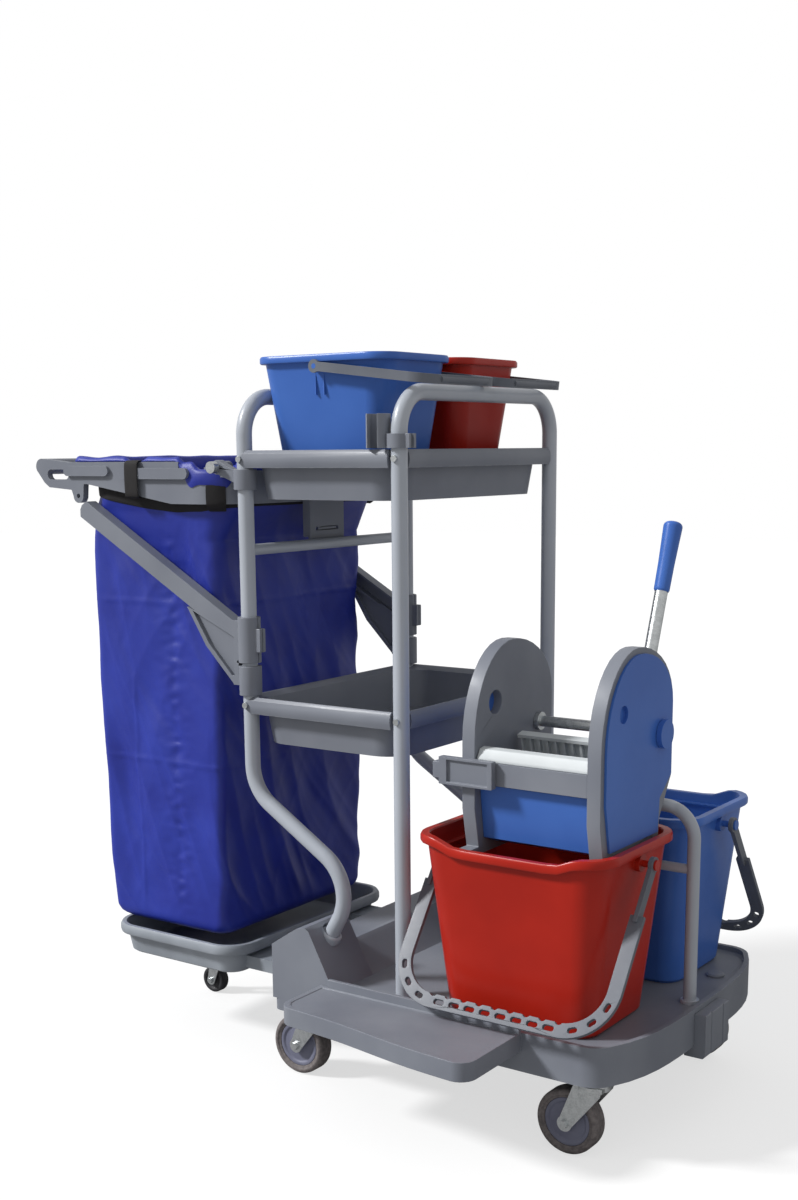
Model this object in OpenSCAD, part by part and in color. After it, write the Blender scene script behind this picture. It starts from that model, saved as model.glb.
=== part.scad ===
// Janitor cart: tube frame on a moulded base, two trays, bag ring with bag, mop buckets with wringer.
// x runs along the cart from the front posts, y across it from the centre plane, z up from the floor.

/* [Frame tubes] */
// Outer diameter of the frame tubes
tube_d = 25; // [22:1:28]
// Wall of the frame tubes
tube_wall = 1.5; // [1:0.1:2.5]
// Distance between the front and rear posts
post_gap = 297; // [280:1:320]
// Distance between the near and far posts, centre to centre
post_span = 445; // [430:1:460]
// Height of the top of both arches
arch_top = 1116; // [1105:1:1130]
// Centre-line radius of the arch bends
arch_r = 60; // [40:1:80]
// Height of the upper corner of a rear leg
knee_z = 475; // [440:1:500]
// Forward run of a rear leg between its corners
knee_run = 208; // [190:1:225]
// Fall of a rear leg between its corners
knee_drop = 131; // [115:1:145]
// Centre-line radius of the rear leg bends
knee_r = 75; // [60:1:80]
// Diameter of the crossbar between the rear posts
crossbar_d = 18; // [14:1:22]
// Height of the crossbar
crossbar_z = 864; // [830:1:880]
// Outer diameter of the collars at the feet of the rear legs
collar_d = 36; // [32:1:42]
// Length of those collars
collar_h = 14; // [8:1:20]

/* [Trays] */
// Reach of a tray past the front posts
tray_front = 10; // [6:1:14]
// Reach of a tray past the rear posts
tray_rear = 15; // [14:1:20]
// Reach of a tray past the side posts
tray_side = 14; // [14:1:20]
// Height of a tray rim
tray_rim_h = 27; // [20:1:34]
// Depth of a tray
tray_depth = 76; // [60:1:90]
// Wall of a tray
tray_wall = 3; // [2:0.5:4]
// Width of the flange between a tray's rim and its body
tray_flange = 16; // [12:1:20]
// Taper of a tray's body
tray_taper = 10; // [4:1:16]
// Corner radius of a tray's body
tray_body_r = 52; // [48:1:60]
// Corner radius of a tray's rim
tray_rim_r = 18; // [12:1:22]
// Height of the top tray's rim
top_tray_z = 1020; // [1005:1:1030]
// Height of the middle tray's rim
middle_tray_z = 629; // [600:1:650]

/* [Base] */
// Width of the base
base_w = 544; // [530:2:560]
// Reach of the base behind the front posts
base_back = 225; // [215:1:240]
// Reach of the base to its front corners
base_reach = 381; // [375:1:395]
// Corner radius of the base
base_r = 45; // [30:1:60]
// Height of the base's lip
base_top = 186; // [180:1:192]
// Depth of the base's skirt
base_depth = 60; // [52:1:66]
// Depth of the deck below the lip
deck_drop = 8; // [5:1:12]
// Thickness of the deck
deck_t = 5; // [3:0.5:8]
// Thickness of the skirt
skirt_t = 5; // [3:0.5:8]
// Width of the lip
lip_w = 8; // [6:1:12]
// Height of the shoulder's crest
shoulder_top = 274; // [265:1:280]
// Height of the shoulder's back edge
shoulder_back = 236; // [220:1:250]
// Height of the shoulder's low middle
shoulder_mid = 222; // [205:1:230]
// Width of each tall end of the shoulder
shoulder_end = 104; // [90:1:120]
// Distance of the shoulder's crest behind the front posts
shoulder_crest = 152; // [148:1:165]
// Distance of the shoulder's toe behind the front posts
shoulder_toe = 98; // [90:1:106]

/* [Step tray and bumper] */
// Left end of the step tray behind the front posts
step_back = 125; // [115:1:135]
// Right end of the step tray
step_front = 242; // [220:1:260]
// Depth of the step at its left end
step_reach_l = 111; // [100:1:120]
// Depth of the step at its right end
step_reach_r = 148; // [135:1:160]
// Depth of the step's skirt
step_skirt = 29; // [22:1:36]
// Height of the lip along the step's inner edge
step_lip = 14; // [8:1:18]
// Corner radius of the step
step_r = 26; // [15:1:35]
// Width of the end bumper
bumper_w = 86; // [70:1:100]
// Height of the end bumper
bumper_h = 70; // [60:1:76]
// Distance that the bumper's face stands out from the base
bumper_out = 49; // [43:1:59]

/* [Bag platform] */
// Length of the bag platform
plat_len = 302; // [290:1:312]
// Width of the bag platform
plat_w = 456; // [440:1:470]
// Distance of the platform's right edge behind the front posts
plat_right = 343; // [335:1:355]
// Height of the platform's rim
plat_top = 190; // [184:1:194]
// Depth of the platform
plat_depth = 55; // [45:1:60]
// Height of the platform's rim band
plat_rim_h = 17; // [12:1:22]
// Corner radius of the platform
plat_r = 56; // [40:1:70]
// Wall of the platform
plat_wall = 4; // [3:0.5:6]

/* [Bag ring] */
// Left end of the bag ring behind the front posts
ring_left = 690; // [680:1:700]
// Right face of the bag ring behind the front posts
ring_right = 322; // [320:1:328]
// Outer width of the bag ring
ring_w = 453; // [448:1:460]
// Wall of the bag ring
ring_wall = 12; // [9:1:14]
// Height of the ring's raised side walls
ring_top = 1003; // [1000:1:1008]
// Height of the ring's lower end wall
ring_end_top = 988; // [984:1:992]
// Height of the ring's bottom edge
ring_bottom = 935; // [930:1:940]
// Corner radius at the ring's hinge end
ring_r = 85; // [75:1:90]
// End of the ring's handle behind the front posts
handle_end = 772; // [765:1:780]
// Diameter of the handle's grip
grip_d = 27; // [22:1:30]
// Distance of the hinge pins behind the front posts
hinge_x = 350; // [346:1:354]
// Height of the hinge pins
hinge_z = 994; // [990:1:998]
// Diameter of the hinge pins
hinge_d = 8; // [6:1:10]

/* [Bag] */
// Height of the bag's underside
bag_bottom = 196; // [195:1:205]
// Left side of the bag behind the front posts
bag_left = 668; // [660:1:672]
// Right side of the bag behind the front posts
bag_right = 384; // [375:1:395]
// Width of the bag
bag_w = 402; // [390:1:410]
// Thickness of the bag's cloth
bag_t = 3; // [2:0.5:4]
// Height of the black hem under the ring
hem_h = 26; // [18:1:34]
// Width of the black straps
strap_w = 31; // [24:1:36]

/* [Bag arms] */
// Depth of a bag arm
arm_h = 30; // [24:1:34]
// Width of a bag arm
arm_w = 23; // [18:1:24]
// Distance of an arm's end behind the front posts
arm_end_x = 652; // [646:1:656]
// Height of an arm's end
arm_end_z = 924; // [918:1:926]
// Height where an arm meets its post
arm_root_z = 733; // [725:1:740]
// Outer diameter of the arm clamps
clamp_d = 37; // [33:1:42]

/* [Mop buckets] */
// Left end of the mop buckets from the front posts
mop_x = 45; // [42:1:50]
// Length of a mop bucket
mop_len = 327; // [315:1:328]
// Width of a mop bucket
mop_w = 263; // [250:1:268]
// Half of the gap between the mop buckets
mop_gap = 12; // [11.5:0.5:15]
// Height of the mop buckets' rims
mop_rim_z = 457; // [445:1:465]
// Height of a mop bucket's rim band
mop_rim_h = 13; // [10:1:16]
// Reach of a mop bucket's rim past its body
mop_rim_w = 10; // [8:1:12]
// Taper of a mop bucket's sides
mop_taper = 27; // [20:1:32]
// Wall of a mop bucket
mop_wall = 4; // [3:0.5:5]
// Dip of the rim along the outer side
mop_dip = 13; // [6:1:16]
// Radius of a mop bail from its pivot to its grip
bail_len = 265; // [255:1:275]
// Width of a mop bail's strap
bail_strap = 22; // [18:1:24]
// Thickness of a mop bail's strap
bail_t = 7; // [5:0.5:9]
// Angle at which a mop bail rests away from straight down
bail_rest = 35; // [30:1:40]
// Number of finger slots in a mop bail's grip
bail_slots = 8; // [4:1:8]
// Diameter of the divider hoop between the mop buckets
divider_d = 20; // [16:1:20]
// Height of the divider hoop
divider_top = 494; // [480:1:505]
// Height of the divider hoop's rung
rung_z = 389; // [360:1:410]

/* [Small buckets] */
// Left end of the small buckets behind the front posts
small_back = 298; // [292:1:299]
// Length of a small bucket
small_len = 262; // [250:1:266]
// Width of a small bucket
small_w = 200; // [190:1:204]
// Half of the gap between the small buckets
small_gap = 5; // [4:0.5:8]
// Height of the small buckets' rims
small_rim_z = 1163; // [1150:1:1175]
// Radius of a small bail from its pivot to its grip
small_bail_len = 206; // [195:1:215]
// Width of a small bail's strap
small_strap = 14; // [10:1:16]
// Thickness of a small bail's strap
small_strap_t = 4; // [3:0.5:5]

/* [Wringer] */
// Left face of the left side plate
wr_left = 122; // [118:1:126]
// Right face of the right side plate
wr_right = 350; // [344:1:351]
// Thickness of a side plate
wr_plate = 22; // [16:1:25]
// Near edge of a side plate from the centre plane
wr_near = 243; // [238:1:246]
// Far edge of a side plate from the centre plane
wr_far = 16; // [14:1:20]
// Height of the side plates' tops
wr_top = 741; // [725:1:755]
// Distance of the side plates' tops from the centre plane
wr_peak = 135; // [125:1:145]
// Thickness of the outer covers
cover_t = 4; // [3:0.5:4]
// Border of the side plates left bare round the covers
cover_in = 9; // [6:1:14]
// Height of the wringer shaft
shaft_z = 606; // [600:1:615]
// Distance of the wringer shaft from the centre plane
shaft_y = 60; // [56:1:66]
// Diameter of the wringer shaft
shaft_d = 17; // [14:1:20]
// Height of the front bar's middle
bar_z = 556; // [550:1:562]
// Height of the front bar
bar_h = 33; // [28:1:36]
// Length of the lever from the shaft to the end of the grip
lever_len = 322; // [300:1:340]
// Diameter of the lever tube
lever_d = 20; // [16:1:22]
// Diameter of the lever grip
lever_grip_d = 29; // [26:1:32]
// Length of the lever grip
lever_grip_len = 108; // [90:1:125]
// Angle at which the lever leans back
lever_lean = 20.3; // [16:0.1:24]

/* [Casters] */
// Diameter of the caster wheels
wheel_d = 100; // [92:1:104]
// Width of the caster wheels
wheel_w = 32; // [26:1:36]
// Diameter of the hub inside a tyre
hub_d = 74; // [66:1:78]
// Trail of a caster behind its swivel pin
trail = 38; // [32:1:42]
// Distance of the front swivel pins ahead of the front posts
swivel_front = 339; // [330:1:342]
// Distance of the rear swivel pins behind the front posts
swivel_rear = 176; // [170:1:180]
// Distance between the swivel pins across the cart, front
swivel_span_f = 452; // [440:2:460]
// Distance between the swivel pins across the cart, rear
swivel_span_r = 420; // [410:2:440]
// Thickness of the fork's sides
fork_t = 3; // [2:0.5:4]
// Diameter of the wheel axles
axle_d = 8; // [6:1:10]
// Diameter of the bag platform's caster wheel
small_wheel_d = 50; // [44:1:54]

/* [Clearances] */
// Running clearance on a pin's diameter
run_fit = 0.16; // [0.06:0.02:0.2]
// Gap between pieces that move past each other
move_gap = 0.3; // [0.2:0.05:0.5]
// Gap between pieces that are fixed together
fix_gap = 0.05; // [0:0.01:0.1]
// Gap under pieces that stand on others
seat_gap = 0.2; // [0.1:0.05:0.4]

/* [Hidden] */
$fn = 48;
arc_n = 6;
bumper_face = base_reach + bumper_out;
mid_x = (bumper_face - handle_end) / 2;
far_edge = mop_gap + mop_w / 2 + bail_len * sin(bail_rest) + bail_strap / 2 * sin(bail_rest)
    + bail_t / 2 * cos(bail_rest);
mid_y = (far_edge - base_w / 2 - step_reach_r) / 2;
post_y = post_span / 2;
tube_r = tube_d / 2;
arch_c = arch_top - tube_r;
deck_z = base_top - deck_drop;
base_bottom = base_top - base_depth;
base_y = base_w / 2;
heel_x = -post_gap + knee_run;
heel_z = knee_z - knee_drop;
heel_dir = [-0.5, -0.866];
heel_len = 114;
foot_x = heel_x + heel_dir[0] * heel_len;
foot_z = heel_z + heel_dir[1] * heel_len;
tray_x0 = -post_gap - tray_rear;
tray_x1 = tray_front;
tray_y = post_y + tray_side;
hole_d = tube_d + 0.6;
top_floor = top_tray_z - tray_depth + tray_wall;
mop_y = mop_gap + mop_w / 2;
mop_x1 = mop_x + mop_len;
mop_floor = deck_z + seat_gap;
pivot_z = mop_rim_z - mop_rim_h - 14;
pivot_d = 10;
ledge_z = mop_rim_z - 27;
bail_half = mop_len / 2 + 1.5 + bail_strap / 2;
stud_from = mop_len / 2 - mop_rim_w - 6;
ring_y = ring_w / 2;
plat_x0 = -plat_right - plat_len;
plat_floor = plat_top - plat_depth + plat_wall;
small_floor = top_floor + seat_gap;
small_x1 = -small_back + small_len;
small_mid = -small_back + small_len / 2;
small_y = small_gap + small_w / 2;
small_pivot_z = small_rim_z - 18;
small_pivot_d = 8;
small_rest = asin((small_pivot_z - arch_top - small_strap / 2 - 2) / (-small_mid));
wr_foot = ledge_z + move_gap;
lever_x = wr_right - wr_plate - 16;
pad_z = base_bottom;
plate_t = 3;
plate_len = 68;
plate_w = 60;
cup_h = 6;
crown_t = 7;
crown_top = pad_z - plate_t - cup_h - move_gap;
axle_z = wheel_d / 2;
fork_y = wheel_w / 2 + 2;
small_crown_top = plat_top - plat_depth - 40;

grey = "#7d848a";
tube_grey = "#9aa1a4";
blue = "#4a74b8";
red = "#b0301f";
cloth = "#2a2a9c";
black = "#171014";
white = "#e6ecec";
zinc = "#b9bdbd";

// Shared shapes

module cart() {
    translate([-mid_x, -mid_y, 0]) children();
}

module both_sides() {
    children();
    mirror([0, 1, 0]) children();
}

// Turns a shape drawn in the XY plane to stand in the XZ plane, thickness towards -Y
module stand_xz() {
    rotate([90, 0, 0]) children();
}

// Turns a shape drawn in the XY plane to stand in the YZ plane, thickness towards +X
module stand_yz() {
    rotate([90, 0, 90]) children();
}

function unit(v) = v / norm(v);

function arc_pts(cx, cy, rx, ry, a0, a1, n) =
    [for (i = [0 : n]) let (a = a0 + (a1 - a0) * i / n) [cx + rx * cos(a), cy + ry * sin(a)]];

function between(p, q, n) = [for (i = [1 : 1 : n - 1]) p + (q - p) * i / n];

// Rounded rectangle, counter-clockwise, with extra points along its far side
function round_rect(x0, y0, x1, y1, r, n, m) = concat(
    arc_pts(x1 - r, y0 + r, r, r, -90, 0, n),
    arc_pts(x1 - r, y1 - r, r, r, 0, 90, n),
    between([x1 - r, y1], [x0 + r, y1], m),
    arc_pts(x0 + r, y1 - r, r, r, 90, 180, n),
    arc_pts(x0 + r, y0 + r, r, r, 180, 270, n));

function at_z(pts, z) = [for (p = pts) [p[0], p[1], z]];

function side_faces(m, n) = [for (k = [0 : m - 2]) for (i = [0 : n - 1]) each let (j = (i + 1) % n)
    [[k * n + i, (k + 1) * n + i, (k + 1) * n + j], [k * n + i, (k + 1) * n + j, k * n + j]]];

// Skin through a stack of rings, closed at its first and last ring
module loft(rings) {
    n = len(rings[0]);
    m = len(rings);
    polyhedron(points = [for (r = rings) each r],
        faces = concat([[for (i = [0 : n - 1]) i]], side_faces(m, n),
            [[for (i = [n - 1 : -1 : 0]) (m - 1) * n + i]]));
}

// Skin through a loop of rings, its last ring joined to its first
module loft_loop(rings) {
    n = len(rings[0]);
    polyhedron(points = [for (r = concat(rings, [rings[0]])) each r],
        faces = side_faces(len(rings) + 1, n));
}

// Flat rounded rectangle from squares and circles
module round_flat(sx, sy, r) {
    square([sx - 2 * r, sy], center = true);
    square([sx, sy - 2 * r], center = true);
    for (x = [-1, 1], y = [-1, 1]) translate([x * (sx / 2 - r), y * (sy / 2 - r)]) circle(r);
}

// Flat slot with round ends
module slot_flat(len, w) {
    square([len - w, w], center = true);
    for (s = [-1, 1]) translate([s * (len - w) / 2, 0]) circle(d = w);
}

function turn(a, b, c) = let (p = unit(b - a), q = unit(c - b))
    atan2(p[0] * q[1] - p[1] * q[0], p[0] * q[0] + p[1] * q[1]);

function trim(a, b, c, r) = r * tan(abs(turn(a, b, c)) / 2);

// Round bar that follows flat points with bends of one radius, and runs past its ends by over.
// Straight runs may lap into the bends by a hair, and are then a hair thicker.
module bent_bar(pts, r, d, over = 0, lap = 0) {
    last = len(pts) - 1;
    for (i = [0 : last - 1]) {
        p = unit(pts[i + 1] - pts[i]);
        s = i == 0 ? -over : trim(pts[i - 1], pts[i], pts[i + 1], r) - lap;
        e = i == last - 1 ? -over : trim(pts[i], pts[i + 1], pts[i + 2], r) - lap;
        translate(pts[i] + p * s) rotate([0, 0, atan2(p[1], p[0])]) rotate([0, 90, 0])
            cylinder(d = d + lap / 10, h = norm(pts[i + 1] - pts[i]) - s - e);
    }
    for (i = [1 : 1 : last - 1]) {
        a = turn(pts[i - 1], pts[i], pts[i + 1]);
        p = unit(pts[i] - pts[i - 1]);
        side = a > 0 ? [-p[1], p[0]] : [p[1], -p[0]];
        middle = pts[i] - p * trim(pts[i - 1], pts[i], pts[i + 1], r) + side * r;
        from = atan2(-side[1], -side[0]);
        translate(middle) rotate([0, 0, a > 0 ? from : from + a])
            rotate_extrude(angle = abs(a)) translate([r, 0]) circle(d = d);
    }
}

module bent_tube(pts, r, d, wall, lap = 0) {
    difference() {
        bent_bar(pts, r, d, 0, lap);
        bent_bar(pts, r, d - 2 * wall, 1, lap);
    }
}

// Frame

arch_pts = [[-post_y, deck_z], [-post_y, arch_c], [post_y, arch_c], [post_y, deck_z]];
arch_low = arch_c - arch_r - 40;
rear_pts = [[-post_y, arch_low], [-post_y, arch_c], [post_y, arch_c], [post_y, arch_low]];
leg_pts = [[-post_gap, arch_low], [-post_gap, knee_z], [heel_x, heel_z], [foot_x, foot_z]];

module front_hoop() {
    cart() color(tube_grey) stand_yz() bent_tube(arch_pts, arch_r, tube_d, tube_wall);
}

module rear_hoop() {
    cart() color(tube_grey) {
        translate([-post_gap, 0, 0]) stand_yz() bent_tube(rear_pts, arch_r, tube_d, tube_wall);
        both_sides() translate([0, -post_y, 0]) stand_xz()
            bent_tube(leg_pts, knee_r, tube_d, tube_wall, 1);
    }
}

module frame_crossbar() {
    cart() color(tube_grey) difference() {
        translate([-post_gap, 0, crossbar_z]) rotate([90, 0, 0])
            cylinder(d = crossbar_d, h = post_span, center = true);
        both_sides() translate([-post_gap, -post_y, crossbar_z - tube_d])
            cylinder(d = tube_d + 2 * fix_gap, h = 2 * tube_d);
    }
}

module at_foot(y) {
    translate([foot_x, y, foot_z]) rotate([0, atan2(-heel_dir[0], -heel_dir[1]), 0]) children();
}

module tube_collars() {
    cart() color(tube_grey) for (s = [-1, 1]) at_foot(s * post_y) difference() {
        union() {
            cylinder(d = collar_d, h = collar_h - 3);
            translate([0, 0, collar_h - 3]) cylinder(d1 = collar_d, d2 = collar_d - 5, h = 3);
        }
        translate([0, 0, -1]) cylinder(d = tube_d + 2 * fix_gap, h = collar_h + 2);
    }
}

// Trays

function tray_ring(inset, r, z) =
    at_z(round_rect(tray_x0 + inset, -tray_y + inset, tray_x1 - inset, tray_y - inset, r, arc_n, 1), z);

module tray(z) {
    f = tray_flange;
    w = tray_wall;
    difference() {
        loft([
            tray_ring(f + tray_taper, tray_body_r - 6, z - tray_depth),
            tray_ring(f, tray_body_r, z - 9),
            tray_ring(5, tray_rim_r - 5, z - 7),
            tray_ring(5, tray_rim_r - 5, z - tray_rim_h + 3),
            tray_ring(3, tray_rim_r - 3, z - tray_rim_h),
            tray_ring(0.5, tray_rim_r - 0.5, z - tray_rim_h + 7),
            tray_ring(0, tray_rim_r, z - tray_rim_h / 2),
            tray_ring(1.5, tray_rim_r - 1.5, z - 5),
            tray_ring(6, tray_rim_r - 5, z),
            tray_ring(10, tray_rim_r - 4, z - 1),
            tray_ring(f + w, tray_body_r - w, z - 7),
            tray_ring(f + tray_taper + w, tray_body_r - 6 - w, z - tray_depth + w)]);
        for (s = [-1, 1]) {
            translate([-post_gap, s * post_y, z - tray_depth]) cylinder(d = hole_d, h = tray_depth + 1);
            translate([0, s * post_y, z - tray_depth]) cylinder(d = hole_d, h = tray_depth + 1);
            translate([0, s * (post_y + 20), z - tray_rim_h / 2])
                cube([hole_d, 40, tray_rim_h + 2], center = true);
            translate([20, s * post_y, z - tray_rim_h / 2])
                cube([40, hole_d, tray_rim_h + 2], center = true);
        }
    }
}

module top_tray() {
    cart() color(grey) tray(top_tray_z);
}

module middle_tray() {
    cart() color(grey) tray(middle_tray_z);
}

// Screws that hold the tray rims to the posts
module frame_screws() {
    cart() color(zinc) both_sides() for (z = [top_tray_z, middle_tray_z]) {
        translate([-post_gap, -tray_y - fix_gap, z - tray_rim_h / 2]) rotate([90, 0, 0])
            cylinder(d = 10, h = 3);
        translate([0, -post_y - tube_r - fix_gap, z - tray_rim_h / 2]) rotate([90, 0, 0])
            cylinder(d = 10, h = 3);
    }
}

// Base

function base_pts(i) = let (
    cx = base_reach - base_r,
    cy = base_y - base_r,
    r = base_r - i,
    xs = cx + r * cos(30),
    ys = cy + r * sin(30),
    bulge = tan(30) * ys / 4,
    rl = 14,
    xl = -base_back + rl) concat(
        arc_pts(xl, -base_y + rl, rl - i, rl - i, 180, 270, 3),
        arc_pts(cx, -cy, r, r, -90, -30, 5),
        [for (k = [-7 : 7]) let (t = k / 8) [xs + bulge * (1 - pow(t, 4)), ys * t]],
        arc_pts(cx, cy, r, r, 30, 90, 5),
        arc_pts(xl, base_y - rl, rl - i, rl - i, 90, 180, 3));

// Side view of the shoulder, made smaller by i all round
function shoulder_pts(top, i) = let (
    back = min(shoulder_back, top - 2),
    slope = shoulder_crest - shoulder_toe) [
        [-base_back + i, base_bottom + 20 - 2 * i],
        [-base_back + i, back - i * 1.2],
        [-shoulder_crest - 22, top - 4 - i * 1.2],
        [-shoulder_crest - 5 - i * 0.3, top - i * 1.2],
        [-shoulder_crest + 3 - i * 0.8, top - 5 - i],
        [-shoulder_toe - slope * 0.22 - i * 1.2, deck_z + (top - deck_z) * 0.18],
        [-shoulder_toe - i * 1.4, deck_z - 1 - 2 * i],
        [-shoulder_toe - i * 1.4, base_bottom + 20 - 2 * i]];

module shoulder(i) {
    w = 2 * (base_y - i);
    e = shoulder_end - 2 * i;
    translate([0, w / 2, 0]) stand_xz() linear_extrude(w) polygon(shoulder_pts(shoulder_mid, i));
    both_sides() translate([0, -base_y + i + e, 0]) stand_xz()
        linear_extrude(e) polygon(shoulder_pts(shoulder_top, i));
}

module caster_spots() {
    for (s = [-1, 1]) {
        translate([swivel_front, s * swivel_span_f / 2, 0]) children();
        translate([-swivel_rear, s * swivel_span_r / 2, 0]) children();
    }
}

module caster_pads() {
    intersection() {
        caster_spots() round_flat(plate_len + 8, plate_w + 8, 8);
        polygon(base_pts(1));
    }
}

module foot_bore() {
    both_sides() at_foot(-post_y) translate([0, 0, -30]) cylinder(d = tube_d + 2 * fix_gap, h = 60);
    both_sides() at_foot(-post_y) translate([0, 0, 0]) cylinder(d = collar_d + 2 * fix_gap, h = 60);
}

module base_platform() {
    cart() color(grey) difference() {
        union() {
            difference() {
                translate([0, 0, base_bottom]) linear_extrude(base_depth) polygon(base_pts(0));
                translate([0, 0, deck_z]) linear_extrude(base_depth) polygon(base_pts(lip_w));
                translate([0, 0, base_bottom - 1]) linear_extrude(base_depth - deck_drop - deck_t + 1)
                    polygon(base_pts(skirt_t));
            }
            shoulder(0);
            translate([0, 0, pad_z]) linear_extrude(deck_z - deck_t - pad_z + 1) caster_pads();
            for (x = [0, 170]) translate([x - 3, -base_y + 1, base_bottom + 12])
                cube([6, base_w - 2, deck_z - base_bottom - 13]);
        }
        difference() {
            shoulder(skirt_t);
            translate([0, 0, pad_z]) linear_extrude(deck_z - deck_t - pad_z) caster_pads();
            translate([-swivel_rear - 3, -base_y, pad_z]) cube([6, base_w, shoulder_top - pad_z]);
        }
        foot_bore();
    }
}

module step_flat(i) {
    x0 = -step_back + i;
    x1 = step_front - i;
    l = base_y + step_reach_l - i;
    r = base_y + step_reach_r - i;
    c = step_r - i / 2;
    polygon(concat([[x1, -base_y - fix_gap - i]],
        arc_pts(x1 - c, -r + c, c, c, 0, -90, arc_n),
        [for (k = [1 : 11]) let (t = 1 - k / 12)
            [x0 + c + (x1 - x0 - 2 * c) * t, -l - (r - l) * t + 3 * sin(360 * t)]],
        arc_pts(x0 + c, -l + c, c, c, -90, -180, arc_n),
        [[x0, -base_y - fix_gap - i]]));
}

module step_tray() {
    cart() color(grey) {
        difference() {
            translate([0, 0, base_top - step_skirt]) linear_extrude(step_skirt) step_flat(0);
            translate([0, 0, base_top - step_skirt - 1]) linear_extrude(step_skirt - 3) step_flat(4);
            translate([0, 0, base_top - 1]) linear_extrude(3) step_flat(9);
        }
        for (x = [-60, 30, 120]) translate([x, -base_y - 94, base_top - step_skirt + 6])
            cube([4, 90, step_skirt - 9]);
        translate([-step_back + 18, -base_y - 7, base_top - 2])
            cube([step_front + step_back - 18, 7 - fix_gap, step_lip + 2]);
    }
}

module end_bumper() {
    top = base_top - 8;
    cart() color(grey) difference() {
        translate([base_reach + 14, -bumper_w / 2, top - bumper_h])
            cube([bumper_face - base_reach - 14, bumper_w, bumper_h]);
        translate([0, 0, base_bottom - fix_gap]) linear_extrude(base_depth) polygon(base_pts(-fix_gap));
        for (y = [-1, 1]) translate([bumper_face - 2, y * bumper_w / 4 - 2, top - bumper_h - 1])
            cube([4, 4, bumper_h + 2]);
        translate([bumper_face, 0, top - bumper_h - 1]) rotate([0, 45, 0])
            cube([8, bumper_w + 2, 8], center = true);
    }
}

module base_plug() {
    cart() color(grey) translate([base_reach - 15, base_y / 2, deck_z]) {
        cylinder(d = 30, h = 3);
        translate([0, 0, 3]) cylinder(d1 = 30, d2 = 24, h = 2);
    }
}

// Bag platform

function plat_ring(inset, z) = at_z(round_rect(plat_x0 + inset, -plat_w / 2 + inset,
    -plat_right - inset, plat_w / 2 - inset, plat_r - inset, arc_n + 2, 1), z);

module bag_platform() {
    t = plat_wall;
    b = plat_top - plat_depth;
    cart() color(grey) difference() {
        union() {
            loft([plat_ring(26, b), plat_ring(20, b + 4), plat_ring(13, plat_top - plat_rim_h),
                plat_ring(1.5, plat_top - plat_rim_h), plat_ring(0, plat_top - plat_rim_h + 4),
                plat_ring(0, plat_top - 5), plat_ring(3, plat_top), plat_ring(10, plat_top),
                plat_ring(13, plat_top - 3), plat_ring(20 + t, b + 4 + t), plat_ring(26 + t, b + t)]);
            // hooks that carry the platform on the back of the base
            both_sides() translate([-plat_right - 22, -180, b + 8])
                cube([plat_right - base_back + 22 - fix_gap, 60, 22]);
            translate([plat_x0 + 70, 0, b - 6]) cylinder(d = 46, h = 8);
        }
        both_sides() for (y = [-166, -148]) translate([-plat_right + 4, y, b + 7])
            cube([plat_right - base_back - 12, 14, 18]);
    }
}

// Divider hoop between the mop buckets

divider_x0 = mop_x - divider_d / 2 - 7;
divider_x1 = mop_x1 + divider_d / 2 + 1;

module divider_hoop() {
    c = divider_top - divider_d / 2;
    cart() color(tube_grey) stand_xz() {
        bent_bar([[divider_x0, deck_z], [divider_x0, c], [divider_x1, c], [divider_x1, deck_z]], 48,
            divider_d);
        translate([divider_x0, rung_z]) rotate([0, 90, 0])
            cylinder(d = divider_d - 5, h = divider_x1 - divider_x0);
        for (x = [divider_x0, divider_x1]) translate([x, deck_z]) rotate([-90, 0, 0])
            cylinder(d = divider_d + 9, h = 5);
    }
}

// Clip for a mop handle on the near front post

clip_d = 25;
clip_x = -33;
clip_y = -post_y - 6;

module handle_clip() {
    z0 = top_tray_z + 1.5;
    collar = arch_c - arch_r - z0 - 1;
    cart() color(grey) difference() {
        union() {
            translate([0, -post_y, z0]) cylinder(d = clamp_d, h = collar);
            translate([clip_x, clip_y, z0]) cylinder(d = clip_d + 12, h = 50);
            translate([clip_x, -post_y - 9, z0]) cube([-clip_x, 18, collar]);
            translate([0, -post_y - 9, z0]) cube([24, 18, collar]);
        }
        translate([0, -post_y, z0 - 1]) cylinder(d = tube_d + 2 * fix_gap, h = 52);
        translate([clip_x, clip_y, z0 - 1]) cylinder(d = clip_d, h = 52);
        translate([clip_x - 9, clip_y - 30, z0 - 1]) cube([18, 30, 52]);
        translate([18.5, -post_y - 4, z0 - 1]) cube([8, 8, 34]);
    }
}

// Bag arms and their clamps

arm_root_x = -post_gap - clamp_d / 2;

module arm_shape(i) {
    p = [arm_root_x - 4, arm_root_z];
    q = [-arm_end_x, arm_end_z];
    d = unit(q - p);
    n = [-d[1], d[0]];
    h = arm_h / 2 - i;
    polygon([p - n * h, q - n * h - d * i * 2, q + d * (6 - i) - n * h * 0.3, q + d * (6 - i) + n * h * 0.3,
        q + n * h - d * i * 2, p + n * h]);
}

module gusset_shape(i) {
    polygon([[arm_root_x - i, arm_root_z - i * 1.6], [-post_gap - 123 + 2.4 * i, arm_root_z + 36 - i * 1.2],
        [-post_gap - 84 + 1.2 * i, arm_root_z - 26 + i], [arm_root_x - 6 - i, arm_root_z - 86 + 3 * i],
        [arm_root_x - i, arm_root_z - 86 + 3 * i]]);
}

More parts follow.
